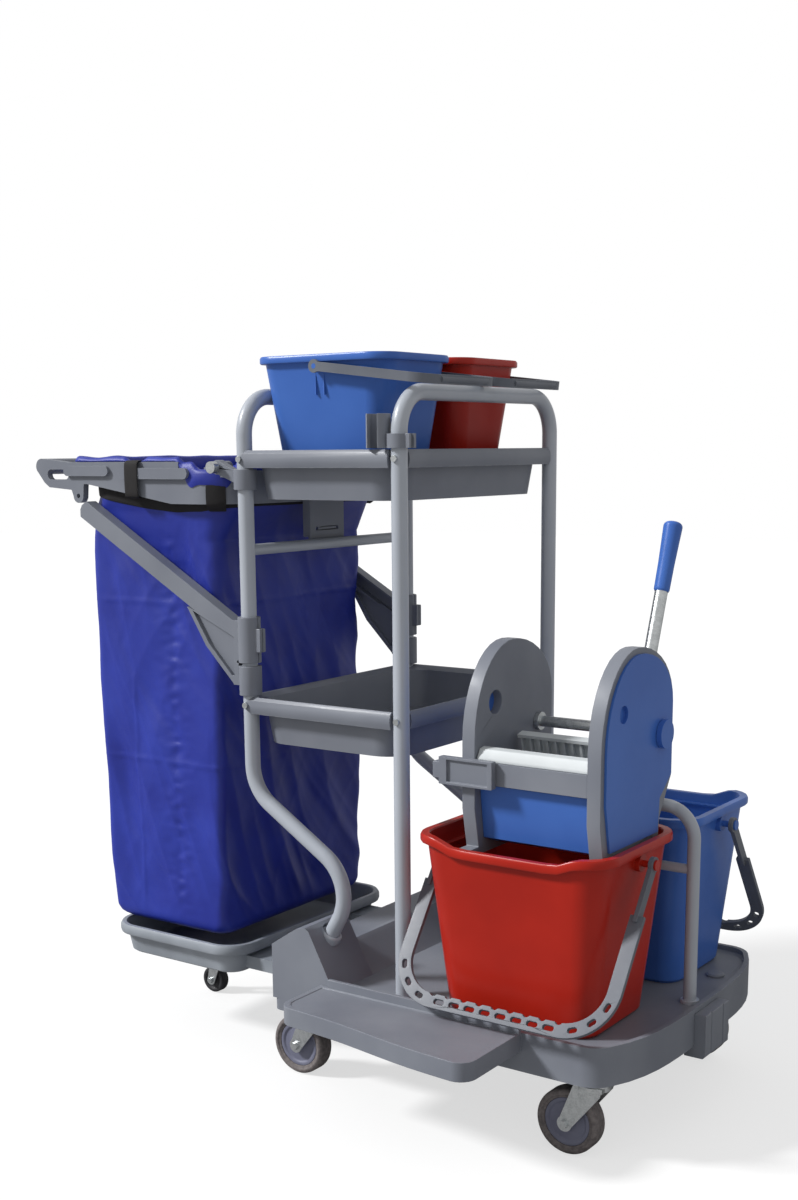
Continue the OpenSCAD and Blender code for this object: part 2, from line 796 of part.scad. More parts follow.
module bag_arms() {
    cart() color(grey) both_sides() translate([0, -post_y + arm_w / 2, 0]) stand_xz() difference() {
        linear_extrude(arm_w) {
            arm_shape(0);
            gusset_shape(0);
            translate([arm_root_x - 8, arm_root_z - 46]) square([8 + clamp_d / 2, 65]);
            translate([arm_root_x - 8, arm_root_z - 86]) square([8 + clamp_d / 2, 36]);
        }
        // open channel on the inner side, with the gusset left as a thin web
        translate([0, 0, -1]) linear_extrude(arm_w - 7) arm_shape(4);
        translate([0, 0, -1]) linear_extrude(8) gusset_shape(5);
        translate([0, 0, arm_w - 7]) linear_extrude(9) gusset_shape(5);
        translate([-post_gap, arm_root_z - 100, arm_w / 2]) rotate([-90, 0, 0])
            cylinder(d = clamp_d + 2 * fix_gap, h = 150);
    }
}

module arm_clamps() {
    z0 = arm_root_z - 49;
    cart() color(grey) both_sides() translate([-post_gap, -post_y, 0]) difference() {
        union() {
            translate([0, 0, z0]) cylinder(d = clamp_d, h = 74);
            translate([0, 0, middle_tray_z + 2]) cylinder(d = clamp_d, h = z0 - middle_tray_z - 7);
            translate([0, -7, z0 + 18]) cube([clamp_d / 2 + 9, 14, 38]);
        }
        translate([0, 0, middle_tray_z - 10]) cylinder(d = tube_d + 2 * fix_gap, h = 200);
        translate([0, -1, z0 - 1]) cube([60, 2, 80]);
    }
}

// Bag ring, its hinge and what it carries

function ring_pts(i) = concat(
    arc_pts(-ring_right - ring_r, -ring_y + ring_r, ring_r - i, ring_r - i, -90, 0, 8),
    arc_pts(-ring_right - ring_r, ring_y - ring_r, ring_r - i, ring_r - i, 0, 90, 8),
    arc_pts(-ring_left + 26, ring_y - 26, 26 - i, 26 - i, 90, 180, 4),
    arc_pts(-ring_left + 26, -ring_y + 26, 26 - i, 26 - i, 180, 270, 4));

grip_x = -handle_end + grip_d / 2;
grip_z = ring_top - grip_d / 2 + 6;
lug_x = -ring_left + 20;
lug_z = ring_bottom + 11;
ear_y = post_y - 9.5;

module cheek_shape() {
    difference() {
        union() {
            polygon([[-ring_left + 40, ring_top], [-ring_left - 3, ring_top], [grip_x, ring_top + 6], [grip_x - 8, grip_z - 11],
                [grip_x + 6, ring_bottom + 33], [grip_x + 18, ring_bottom + 25],
                [-ring_left + 4, ring_bottom + 21], [lug_x - 12, lug_z], [lug_x + 12, lug_z],
                [lug_x + 14, ring_bottom + 31], [-ring_left + 40, ring_bottom + 31]]);
            translate([lug_x, lug_z]) circle(d = 24);
        }
        translate([-ring_left - 28, ring_bottom + 47]) slot_flat(52, 17);
        translate([lug_x, lug_z]) circle(d = 8);
    }
}

module bag_ring() {
    cart() color(grey) difference() {
        union() {
            difference() {
                translate([0, 0, ring_bottom]) linear_extrude(ring_top - ring_bottom) difference() {
                    polygon(ring_pts(0));
                    polygon(ring_pts(ring_wall));
                }
                translate([0, ring_w, 0]) stand_xz() linear_extrude(2 * ring_w)
                    polygon([[-ring_left - 9, ring_bottom - 9], [-ring_left - 9, ring_bottom + 31],
                        [-ring_left + 42, ring_bottom + 31], [-ring_left + 236, ring_bottom],
                        [-ring_left + 236, ring_bottom - 9]]);
                translate([-ring_right - 114, -ring_w, ring_end_top]) cube([200, 2 * ring_w, 60]);
            }
            both_sides() translate([0, -ring_y + ring_wall, 0]) stand_xz() linear_extrude(ring_wall)
                cheek_shape();
            translate([grip_x, -ring_y, grip_z]) rotate([-90, 0, 0]) cylinder(d = grip_d, h = ring_w);
            // raised latch bars on the side walls
            both_sides() translate([-ring_left + 45, -ring_y, ring_top - 15]) stand_xz()
                linear_extrude(6) slot_flat(106, 17);
            // hinge ears
            both_sides() {
                translate([-hinge_x, -ear_y, hinge_z]) rotate([-90, 0, 0]) cylinder(d = 20, h = 12);
                translate([-hinge_x - 42, -ear_y, ring_end_top - 10]) cube([42, 12, 16]);
            }
        }
        translate([0, 0, ring_bottom - 9]) linear_extrude(ring_top) polygon(ring_pts(ring_wall));
        translate([-hinge_x, -ring_w, hinge_z]) rotate([-90, 0, 0])
            cylinder(d = hinge_d + run_fit, h = 2 * ring_w);
    }
}

module hinge_brackets() {
    cart() color(grey) both_sides() difference() {
        union() {
            translate([-post_gap, -post_y, top_tray_z - tray_rim_h - 34]) cylinder(d = clamp_d, h = 32);
            translate([0, -post_y + 7, 0]) stand_xz() linear_extrude(14) {
                translate([-hinge_x, hinge_z]) circle(d = 23);
                polygon([[-post_gap, top_tray_z - tray_rim_h - 30], [-post_gap, top_tray_z - tray_rim_h - 3],
                    [tray_x0 - 4, top_tray_z - tray_rim_h - 3], [-hinge_x + 4, hinge_z + 10],
                    [-hinge_x - 9, hinge_z - 7]]);
            }
        }
        translate([-post_gap, -post_y, top_tray_z - 90]) cylinder(d = tube_d + 2 * fix_gap, h = 120);
        translate([-hinge_x, -ring_w, hinge_z]) rotate([-90, 0, 0])
            cylinder(d = hinge_d + 2 * fix_gap, h = ring_w);
    }
}

module hinge_pins() {
    cart() color(zinc) both_sides() translate([-hinge_x, -post_y - 7 - fix_gap, hinge_z]) {
        rotate([-90, 0, 0]) cylinder(d = hinge_d, h = 32);
        rotate([90, 0, 0]) cylinder(d = 13, h = 5);
        translate([0, -5, 0]) rotate([90, 0, 0]) cylinder(d = 19, h = 11);
    }
}

// Plate under the ring's end wall that bears on the crossbar
module back_stop() {
    x = -post_gap - crossbar_d / 2 - move_gap;
    cart() color(grey) difference() {
        union() {
            translate([x - 5, -47, crossbar_z - 6]) cube([5, 94, ring_bottom - crossbar_z + 36]);
            translate([-ring_right + fix_gap, -47, ring_bottom + 4])
                cube([x + ring_right - fix_gap, 94, 26]);
            for (y = [-47, 43]) translate([-ring_right + fix_gap, y, crossbar_z + 12])
                cube([x + ring_right - fix_gap, 4, ring_bottom - crossbar_z]);
        }
        for (y = [-28, 28]) translate([x - 20, y, crossbar_z + 25]) rotate([0, 90, 0])
            cylinder(d = 6, h = 30);
    }
}

module retaining_rails() {
    z = ring_end_top - 13;
    cart() color(grey) {
        both_sides() translate([-ring_right - 244, -ring_y - fix_gap, z + 9]) stand_xz()
            linear_extrude(7) translate([77, 0]) slot_flat(154, 18);
        translate([-ring_right + fix_gap, 0, z + 9]) stand_yz() linear_extrude(7)
            slot_flat(2 * (ring_y - ring_r) - 4, 18);
    }
}

// Bag: a cloth tube with a closed bottom that hangs inside the ring
function bag_ring_pts(x0, x1, y, r, z) = at_z(round_rect(-x0, -y, -x1, y, r, 5, 1), z);

function bag_skin(t) = let (l = bag_left - t, r = bag_right + t, y = bag_w / 2 - t,
    i = ring_wall + 1 + t) [
        bag_ring_pts(l - 30, r + 16, y - 14, 44, bag_bottom + t),
        bag_ring_pts(l - 12, r + 6, y - 4, 50, bag_bottom + 14),
        bag_ring_pts(l - 8, r + 2, y, 52, bag_bottom + 60),
        bag_ring_pts(l + 1, r - 1, y + 1, 52, bag_bottom + 400),
        bag_ring_pts(l - 2, r - 2, y + 2, 54, ring_bottom - 60),
        bag_ring_pts(l - 2, r - 30, y + 6, 62, ring_bottom - 14),
        bag_ring_pts(ring_left - i - 3, ring_right + i, ring_y - i, 73, ring_bottom + 8),
        bag_ring_pts(ring_left - i, ring_right + i, ring_y - i, 73, ring_end_top)];

module bag() {
    outer = bag_skin(0);
    inner = bag_skin(bag_t);
    cart() color(cloth) loft(concat(outer, [for (k = [len(inner) - 1 : -1 : 0]) inner[k]]));
}

// Ring round the bag's neck at height share u of its lower flare, t outside the cloth
function neck_ring(u, t) = bag_ring_pts(bag_left - 2 + t, bag_right - 2 - 28 * u - t,
    bag_w / 2 + 2 + 4 * u + t, 54 + 8 * u + t, ring_bottom - 60 + 46 * u);

module bag_webbing() {
    z1 = ring_top + 2;
    face = ring_y + 7 + fix_gap + 0.5;
    u0 = 0.96 - hem_h / 46;
    cart() color(black) {
        loft_loop([neck_ring(u0, 3), neck_ring(0.96, 3), neck_ring(0.96, 0.4), neck_ring(u0, 0.4)]);
        both_sides() translate([-ring_left + 139, -face - 2, ring_bottom + 8]) {
            cube([strap_w, 2, z1 - ring_bottom - 8]);
            translate([0, 0, z1 - ring_bottom - 10]) cube([strap_w, face - ring_y + ring_wall + 2, 2]);
            cube([strap_w, face - ring_y + ring_wall + 2, 2]);
        }
    }
}

// Turned-over edge of the bag along the top of the ring
// with points added beside the step between the raised side walls and the end wall
function cuff_pts(i) = let (n = 9, p = ring_pts(i), x = -ring_right - 113.5) concat(
    [for (k = [0 : 2 * n - 1]) p[k]], [[x + 3, ring_y - i], [x, ring_y - i]],
    [for (k = [2 * n : len(p) - 1]) p[k]], [[x, -ring_y + i], [x + 3, -ring_y + i]]);

function cuff_ring(i, dz, over) = [for (p = cuff_pts(i)) let (low = p[0] > -ring_right - 112)
    [p[0], p[1], (low ? ring_end_top : ring_top) + dz + (low ? over : 0)]];

module bag_cuff() {
    cart() color(cloth) difference() {
        loft_loop([cuff_ring(ring_wall + 1, fix_gap + 0.2, 0), cuff_ring(2, fix_gap + 0.2, 0),
            cuff_ring(3, 8, 7), cuff_ring(ring_wall / 2, 11, 8), cuff_ring(ring_wall + 1, 8, 7)]);
        both_sides() translate([-ring_left + 139 - 1, -ring_y - 40, ring_top - 2])
            cube([strap_w + 2, 40 + ring_wall + 3, 40]);
        both_sides() translate([-hinge_x - 46, -ear_y - 4, ring_end_top - 4]) cube([70, 24, 30]);
    }
}

// Mop buckets

function smooth(a, b, x) = let (t = min(1, max(0, (x - a) / (b - a)))) t * t * (3 - 2 * t);

function mop_ring(inset, r, z, dip) = [for (p = round_rect(mop_x + inset, mop_gap + inset,
    mop_x1 - inset, mop_gap + mop_w - inset, r, 5, 10))
    [p[0], p[1], z - dip * smooth(mop_y + 40, mop_gap + mop_w - 20, p[1])
        * smooth(mop_x + 38, mop_x + 84, p[0]) * smooth(-mop_x1 + 38, -mop_x1 + 84, -p[0])]];

module mop_bucket() {
    w = mop_wall;
    o = mop_rim_w;
    z = mop_rim_z;
    d = mop_dip;
    step = o + mop_taper * (z - ledge_z) / (z - mop_floor);
    loft([
        mop_ring(o + mop_taper + 5, 30, mop_floor, 0),
        mop_ring(o + mop_taper, 34, mop_floor + 5, 0),
        mop_ring(o, 44, z - mop_rim_h, d),
        mop_ring(1, 50, z - mop_rim_h, d),
        mop_ring(0, 51, z - mop_rim_h + 3, d),
        mop_ring(0, 51, z - 3, d),
        mop_ring(2, 49, z, d),
        mop_ring(o + w - 2, 42, z, d),
        mop_ring(o + w, 40, z - 2, d),
        mop_ring(step + w, 39, ledge_z, 0),
        mop_ring(step + w + 9, 32, ledge_z, 0),
        mop_ring(step + w + 9, 32, ledge_z - 4, 0),
        mop_ring(step + w + 3, 36, ledge_z - 14, 0),
        mop_ring(o + mop_taper + w, 31, mop_floor + w + 4, 0),
        mop_ring(o + mop_taper + w + 5, 26, mop_floor + w, 0)]);
    // pivot studs for the bail, under the rim at both ends
    for (s = [-1, 1]) translate([(mop_x + mop_x1) / 2, mop_y, pivot_z]) rotate([0, 90 * s, 0])
        translate([0, 0, stud_from]) {
            cylinder(d = 26, h = o + 2);
            cylinder(d = pivot_d, h = bail_half - stud_from + bail_t / 2 + 3);
            translate([0, 0, bail_half - stud_from + bail_t / 2 + move_gap]) cylinder(d = pivot_d + 6, h = 3);
        }
}

// Strap bail: arms from the pivots, round corners, slotted grip with a scalloped edge.
// Drawn in its own plane, x along the bucket and y from the pivots towards the grip.
module mop_bail() {
    half = bail_half;
    s = bail_strap;
    c = 70;
    g = 2 * (half - c) / bail_slots;
    grip = bail_len;
    module band(w) {
        for (m = [-1, 1]) {
            translate([m * half - w / 2, grip * 0.3]) square([w, grip * 0.7 - c]);
            intersection() {
                translate([m * (half - c), grip - c]) difference() {
                    circle(c + w / 2);
                    circle(c - w / 2);
                }
                translate([m > 0 ? half - c : -half - w, grip - c]) square([c + w, c + w]);
            }
        }
        translate([-half + c, grip - w / 2]) square([2 * (half - c), w]);
    }
    difference() {
        union() {
            linear_extrude(bail_t, center = true) difference() {
                band(s);
                for (k = [0 : bail_slots - 1])
                    translate([-half + c + g * (k + 0.5), grip]) slot_flat(g * 0.68, 8);
                for (k = [0 : bail_slots])
                    translate([-half + c + g * k, grip - s / 2 - 3]) circle(d = 13);
                for (m = [-1, 1], a = [20, 45, 70]) translate([m * (half - c), grip - c])
                    rotate([0, 0, m > 0 ? a : 180 - a]) translate([c, 0]) rotate([0, 0, 90])
                        slot_flat(g * 0.55, 8);
            }
            // flat arms turned edge-on at the pivots
            for (m = [-1, 1]) translate([m * half, 0, 0]) rotate([0, 90, 0]) {
                cylinder(d = s + 2, h = bail_t, center = true);
                translate([-s / 2 + 3, 0, -bail_t / 2]) cube([s - 6, grip * 0.34, bail_t]);
            }
        }
        rotate([0, 90, 0]) cylinder(d = pivot_d + run_fit, h = 3 * mop_len, center = true);
    }
}

module red_bucket() {
    cart() color(red) mirror([0, 1, 0]) mop_bucket();
}

module blue_bucket() {
    cart() color(blue) mop_bucket();
}

module red_bail() {
    cart() color(grey) mirror([0, 1, 0]) hang_bail();
}

module blue_bail() {
    cart() color(grey) hang_bail();
}

module hang_bail() {
    translate([(mop_x + mop_x1) / 2, mop_y, pivot_z]) rotate([-90 + bail_rest, 0, 0]) mop_bail();
}

// Small buckets

function small_ring(inset, r, z) = at_z(round_rect(-small_back + inset, small_gap + inset,
    small_x1 - inset, small_gap + small_w - inset, r, arc_n, 1), z);

module small_bucket() {
    o = 8;
    t = 27;
    w = 3;
    z = small_rim_z;
    loft([
        small_ring(o + t + 4, 24, small_floor), small_ring(o + t, 28, small_floor + 4),
        small_ring(o, 36, z - 11), small_ring(1, 40, z - 11), small_ring(0, 41, z - 9),
        small_ring(0, 41, z - 3), small_ring(2, 39, z), small_ring(o + w - 2, 35, z),
        small_ring(o + w, 33, z - 3), small_ring(o + t + w, 25, small_floor + w + 3),
        small_ring(o + t + w + 4, 21, small_floor + w)]);
    // ears with their ribs, and the pivot studs
    for (m = [-1, 1]) translate([small_mid, small_y + m * (small_w / 2 - o - 4), small_pivot_z])
        rotate([-90 * m, 0, 0]) {
            cylinder(d = 18, h = o + 3);
            cylinder(d = small_pivot_d, h = small_stud);
        }
    for (m = [-1, 1], x = [-9, 7]) translate([small_mid + x, small_y + m * (small_w / 2 - o - 7) - 5,
        small_pivot_z - 42]) cube([2, 10, 42]);
}

small_stud = 8 + 4 + small_gap - 0.7;
small_arm = small_w / 2 + small_gap - 0.7 - small_strap_t / 2;

// Strap bail of a small bucket, drawn with x from the pivots towards the grip
module small_bail() {
    half = small_arm;
    t = small_strap_t;
    c = 34;
    g = small_bail_len;
    difference() {
        union() {
            linear_extrude(small_strap, center = true) {
                for (m = [-1, 1]) {
                    translate([0, m * half - t / 2]) square([g - c, t]);
                    intersection() {
                        translate([g - c, m * (half - c)]) difference() {
                            circle(c + t / 2);
                            circle(c - t / 2);
                        }
                        translate([g - c, m > 0 ? half - c : -half - t]) square([c + t, c + t]);
                    }
                }
                translate([g - t / 2, -half + c]) square([t, 2 * (half - c)]);
            }
            for (m = [-1, 1]) translate([0, m * half, 0]) rotate([90, 0, 0])
                cylinder(d = small_strap + 6, h = t, center = true);
            translate([g, 0, 0]) rotate([90, 0, 0]) cylinder(d = 10, h = 2 * (half - c) - 8, center = true);
        }
        rotate([90, 0, 0]) cylinder(d = small_pivot_d + run_fit, h = 2 * small_w, center = true);
    }
}

module small_bail_rest() {
    translate([small_mid, small_y, small_pivot_z]) rotate([0, small_rest, 0]) small_bail();
}

module small_blue_bucket() {
    cart() color(blue) mirror([0, 1, 0]) small_bucket();
}

module small_red_bucket() {
    cart() color(red) small_bucket();
}

module small_blue_bail() {
    cart() color(grey) mirror([0, 1, 0]) small_bail_rest();
}

module small_red_bail() {
    cart() color(grey) small_bail_rest();
}

// Wringer

wr_knee = wr_top - 141;
wr_brow = wr_top - 91;

// Outline of a side plate, made smaller by i, with its foot at height z
function plate_pts(i, z) = concat([
    [-wr_near + 14 + i, z], [-wr_far - 42 - i, z], [-wr_far - 38 - i, z + 47 + i * 0.4],
    [-wr_far - i, divider_top + 43 + i * 0.4]],
    arc_pts(-wr_peak, wr_brow, wr_peak - wr_far - i, wr_top - wr_brow - i, 0, 90, 9),
    arc_pts(-wr_peak, wr_knee, wr_near - wr_peak - i, wr_top - wr_knee - i, 98, 180, 9),
    [[-wr_near + i, z + 70]]);

foot_near = mop_gap + mop_w - mop_rim_w - mop_wall - 5;
foot_far = mop_gap + mop_rim_w + mop_wall + 5;
dimple = [-wr_peak - 50, wr_top - 89];

module side_plate(x, near, far) {
    difference() {
        union() {
            translate([x, 0, 0]) stand_yz() linear_extrude(wr_plate) polygon(plate_pts(0, wr_foot));
            translate([x, -near, wr_foot]) cube([wr_plate, near - far, 11]);
        }
        translate([x - 1, -shaft_y, shaft_z]) rotate([0, 90, 0])
            cylinder(d = shaft_d + run_fit, h = wr_plate + 2);
        translate([x - 1, dimple[0], dimple[1]]) rotate([0, 90, 0]) cylinder(d = 36, h = wr_plate + 2);
        translate([x - 1, press_y, press_z]) rotate([0, 90, 0])
            cylinder(d = press_d + run_fit, h = wr_plate + 2);
    }
}

module left_side_plate() {
    cart() color(grey) side_plate(wr_left, foot_near, foot_far);
}

module right_side_plate() {
    cart() color(grey) side_plate(wr_right - wr_plate, foot_near - 20, foot_far + 20);
}

module cover(x) {
    difference() {
        translate([x, 0, 0]) stand_yz() linear_extrude(cover_t) polygon(plate_pts(cover_in, mop_rim_z + 2));
        translate([x - 1, -shaft_y, shaft_z]) rotate([0, 90, 0])
            cylinder(d = shaft_d + run_fit, h = cover_t + 2);
    }
    // dished disc in the plate's opening
    translate([x + (x < wr_right - 50 ? cover_t : -8), dimple[0], dimple[1]]) rotate([0, 90, 0])
        cylinder(d = 36 - 2 * fix_gap, h = 8);
}

module wringer_covers() {
    cart() color(blue) {
        cover(wr_left - cover_t - fix_gap);
        difference() {
            cover(wr_right + fix_gap);
            translate([wr_right - 2, dimple[0], dimple[1]]) rotate([0, 90, 0]) cylinder(d = 26, h = 20);
        }
    }
}

bar_x0 = wr_left + wr_plate + fix_gap;
bar_x1 = wr_right - wr_plate - fix_gap;

module front_bar() {
    cart() color(grey) difference() {
        translate([bar_x0, -wr_near + 1, bar_z - bar_h / 2]) cube([bar_x1 - bar_x0, 11, bar_h]);
        translate([bar_x0 + 6, -wr_near + 5, bar_z - bar_h / 2 - 1])
            cube([bar_x1 - bar_x0 - 12, 20, bar_h - 5]);
    }
}

module bar_clip() {
    z0 = bar_z - bar_h / 2 - 4;
    y0 = -wr_near - 12;
    cart() color(grey) difference() {
        union() {
            translate([wr_left - 34, y0, z0]) cube([92, 12 - fix_gap, bar_h + 8]);
            translate([wr_left - 44, y0, z0 + 8]) cube([12, 34, bar_h - 8]);
            translate([wr_left - 44, y0 + 24, z0 + 8]) cube([26, 10, bar_h - 8]);
        }
        translate([wr_left - 20, y0 - 1, z0 + 4]) cube([70, 5, bar_h]);
    }
}

// Trough between the side plates
module basket() {
    pts = [[-wr_near + 13, bar_z - bar_h / 2 - 3], [-wr_near + 24, wr_foot + 24], [-wr_near + 46, wr_foot + 15],
        [-shaft_y - 34, wr_foot + 15]];
    cart() color(blue) difference() {
        translate([bar_x0, 0, 0]) stand_yz() linear_extrude(bar_x1 - bar_x0)
            polygon(concat(pts, [for (k = [3 : -1 : 0]) pts[k] + [k > 2 ? 0 : 4, k > 0 ? 4 : 0]]));
        for (k = [0 : 5]) translate([bar_x0 + 18 + k * 26, -wr_near + 62, wr_foot + 10])
            cube([10, 70, 14]);
    }
}

// Fixed white jaw behind the front bar
module front_jaw() {
    a = [-wr_near + 15, bar_z + bar_h / 2 + 5 + fix_gap];
    b = [-wr_near + 68, wr_foot + 42];
    cart() color(white) translate([bar_x0 + 1, 0, 0]) stand_yz() linear_extrude(bar_x1 - bar_x0 - 2)
        polygon([a, a + [-11, 0], a + [-11, -5], a + [-1, -5], b + [-4, 0], b + [2, -4], b + [2, 0], a + [6, 1]]);
}

press_y = -shaft_y - 22;
press_z = wr_foot + 32;
press_lean = 15;
press_d = 10;

// Ribbed jaw that swings on its lower edge
module press_jaw() {
    h = 142;
    x0 = bar_x0 + 6;
    x1 = lever_x - 24;
    cart() color(white) translate([0, press_y, press_z]) rotate([press_lean, 0, 0]) {
        translate([x0, -4, 4]) cube([x1 - x0, 5, h - 4]);
        translate([wr_left + 3, 0, 0]) rotate([0, 90, 0]) cylinder(d = press_d, h = wr_right - wr_left - 6);
        translate([x0, -14, h - 5]) cube([x1 - x0, 15, 5]);
        for (k = [0 : 9]) translate([x0 + 3 + k * (x1 - x0 - 10) / 9, -11, 14]) cube([4, 9, h - 18]);
    }
}

module wringer_shaft() {
    x0 = wr_left - cover_t - 5;
    x1 = wr_right + cover_t + 5;
    cart() color(zinc) translate([0, -shaft_y, shaft_z]) rotate([0, 90, 0]) {
        translate([0, 0, x0]) cylinder(d = shaft_d, h = x1 - x0);
        translate([0, 0, x0 - 4]) cylinder(d = 43, h = 8.5 - move_gap);
        translate([0, 0, x1 - 4.5 + move_gap]) cylinder(d = 43, h = 8.5 - move_gap);
        translate([0, 0, bar_x0 + move_gap]) cylinder(d = shaft_d + 11, h = 7);
    }
}

// Points along the lever, from the shaft
module on_lever() {
    translate([lever_x, -shaft_y, shaft_z]) rotate([-lever_lean, 0, 0]) children();
}

module lever_tube() {
    cart() color(zinc) on_lever() difference() {
        union() {
            rotate([0, 90, 0]) cylinder(d = shaft_d + 17, h = 30, center = true);
            cylinder(d = lever_d, h = lever_len - 8);
        }
        rotate([0, 90, 0]) cylinder(d = shaft_d + 2 * fix_gap, h = 40, center = true);
    }
}

module lever_grip() {
    r = lever_grip_d / 2;
    cart() color(blue) on_lever() difference() {
        translate([0, 0, lever_len - lever_grip_len]) rotate_extrude() polygon(concat(
            [[0, 0], [r - 4, 0], [r - 2.5, 3], [r - 2, lever_grip_len * 0.4]],
            arc_pts(r - 7, lever_grip_len - 7, 7, 7, 0, 90, 6), [[0, lever_grip_len]]));
        translate([0, 0, lever_len - lever_grip_len - 1])
            cylinder(d = lever_d + 2 * fix_gap, h = lever_grip_len - 7 + fix_gap);
    }
}

// Casters

module caster_plates() {
    cart() color(zinc) {
        caster_spots() difference() {
            union() {
                translate([0, 0, pad_z - plate_t]) linear_extrude(plate_t) round_flat(plate_len, plate_w, 8);
                translate([0, 0, crown_top + move_gap]) cylinder(d = 50, h = cup_h);
                translate([0, 0, crown_top - crown_t - 7]) cylinder(d = 12, h = crown_t + cup_h + 7);
                translate([0, 0, crown_top - crown_t - 7]) cylinder(d = 19, h = 7 - move_gap);
            }
            for (x = [-1, 1] * (plate_len / 2 - 8), y = [-1, 1] * (plate_w / 2 - 8)) translate([x, y, pad_z - plate_t - 1])
                cylinder(d = 8, h = plate_t + 2);
        }
        translate([plat_x0 + 70, 0, small_crown_top - 12]) {
            cylinder(d = 8, h = 46);
            translate([0, 0, 12 + move_gap]) cylinder(d = 30, h = 34 - move_gap - fix_gap);
            cylinder(d = 13, h = 6 - move_gap);
        }
    }
}

// Fork with its axle; the wheel trails towards -x
module fork(top, crown, pin, axle_at, back, half, side_t, axle) {
    difference() {
        union() {
            translate([0, 0, top - crown]) cylinder(d = pin * 4.4, h = crown);
            translate([-pin * 1.9, -half - side_t, top - crown])
                cube([pin * 3.8, 2 * (half + side_t), crown]);
            for (s = [-1, 1]) translate([0, s * (half + side_t / 2) + side_t / 2, 0]) stand_xz()
                linear_extrude(side_t) {
                    polygon([[-pin * 1.9, top], [pin * 1.9, top], [pin * 1.6, top - crown - 6],
                        [-back + axle * 1.4, axle_at - axle * 0.5], [-back - axle * 1.4, axle_at]]);
                    translate([-back, axle_at]) circle(d = axle * 3);
                }
        }
        translate([0, 0, top - crown - 1]) cylinder(d = pin + run_fit, h = crown + 2);
    }
    translate([-back, 0, axle_at]) rotate([90, 0, 0]) {
        cylinder(d = axle, h = 2 * half + 2 * side_t + 8, center = true);
        for (s = [-1, 1]) translate([0, 0, s * (half + side_t + 2.5)])
            cylinder(d = axle * 1.7, h = 5, center = true, $fn = 6);
    }
}

module caster_fork() {
    fork(crown_top, crown_t, 12, axle_z, trail, fork_y, fork_t, axle_d);
}

module caster_tyre() {
    r = wheel_d / 2;
    w = wheel_w / 2;
    h = hub_d / 2 + fix_gap;
    translate([-trail, 0, axle_z]) rotate([90, 0, 0]) rotate_extrude() polygon(concat(
        [[h, -w + 3], [h + 4, -w + 2], [r - 8, -w]], arc_pts(r - 6, -w + 6, 6, 6, -90, 0, 4),
        arc_pts(r - 6, w - 6, 6, 6, 0, 90, 4), [[r - 8, w], [h + 4, w - 2], [h, w - 3]]));
}

module caster_hub() {
    w = wheel_w / 2;
    b = axle_d / 2 + run_fit / 2;
    translate([-trail, 0, axle_z]) rotate([90, 0, 0]) rotate_extrude() polygon([[b, -w - 1], [b + 8, -w - 1],
        [b + 9, -w + 4], [hub_d / 2 - 8, -w + 6], [hub_d / 2 - 5, -w + 3.5], [hub_d / 2, -w + 3.5],
        [hub_d / 2, w - 3.5], [hub_d / 2 - 5, w - 3.5], [hub_d / 2 - 8, w - 6], [b + 9, w - 4],
        [b + 8, w + 1], [b, w + 1]]);
}

module near_front() {
    cart() translate([swivel_front, -swivel_span_f / 2, 0]) children();
}

module far_front() {
    cart() translate([swivel_front, swivel_span_f / 2, 0]) children();
}

module near_rear() {
    cart() translate([-swivel_rear, -swivel_span_r / 2, 0]) children();
}

module far_rear() {
    cart() translate([-swivel_rear, swivel_span_r / 2, 0]) children();
}

module near_front_fork() { color(zinc) near_front() caster_fork(); }
module near_front_tyre() { color("#77706f") near_front() caster_tyre(); }
module near_front_hub() { color("#7a7c90") near_front() caster_hub(); }
module far_front_fork() { color(zinc) far_front() caster_fork(); }
module far_front_tyre() { color("#77706f") far_front() caster_tyre(); }
module far_front_hub() { color("#7a7c90") far_front() caster_hub(); }
module near_rear_fork() { color(zinc) near_rear() caster_fork(); }
module near_rear_tyre() { color("#77706f") near_rear() caster_tyre(); }
module near_rear_hub() { color("#7a7c90") near_rear() caster_hub(); }
module far_rear_fork() { color(zinc) far_rear() caster_fork(); }
module far_rear_tyre() { color("#77706f") far_rear() caster_tyre(); }
module far_rear_hub() { color("#7a7c90") far_rear() caster_hub(); }

small_trail = 20;

module bag_caster_fork() {
    cart() color(zinc) translate([plat_x0 + 70, 0, 0])
        fork(small_crown_top, 5, 8, small_wheel_d / 2, small_trail, 12, 2.5, 6);
}

module bag_caster_wheel() {
    r = small_wheel_d / 2;
    b = (6 + run_fit) / 2;
    cart() color("#3a3a3c") translate([plat_x0 + 70 - small_trail, 0, r]) rotate([90, 0, 0])
        rotate_extrude() polygon(concat([[b, -11], [b + 5, -11], [b + 6, -7], [r - 9, -7], [r - 7, -10]],
            arc_pts(r - 4, -6, 4, 4, -90, 0, 4), arc_pts(r - 4, 6, 4, 4, 0, 90, 4),
            [[r - 7, 10], [r - 9, 7], [b + 6, 7], [b + 5, 11], [b, 11]]));
}

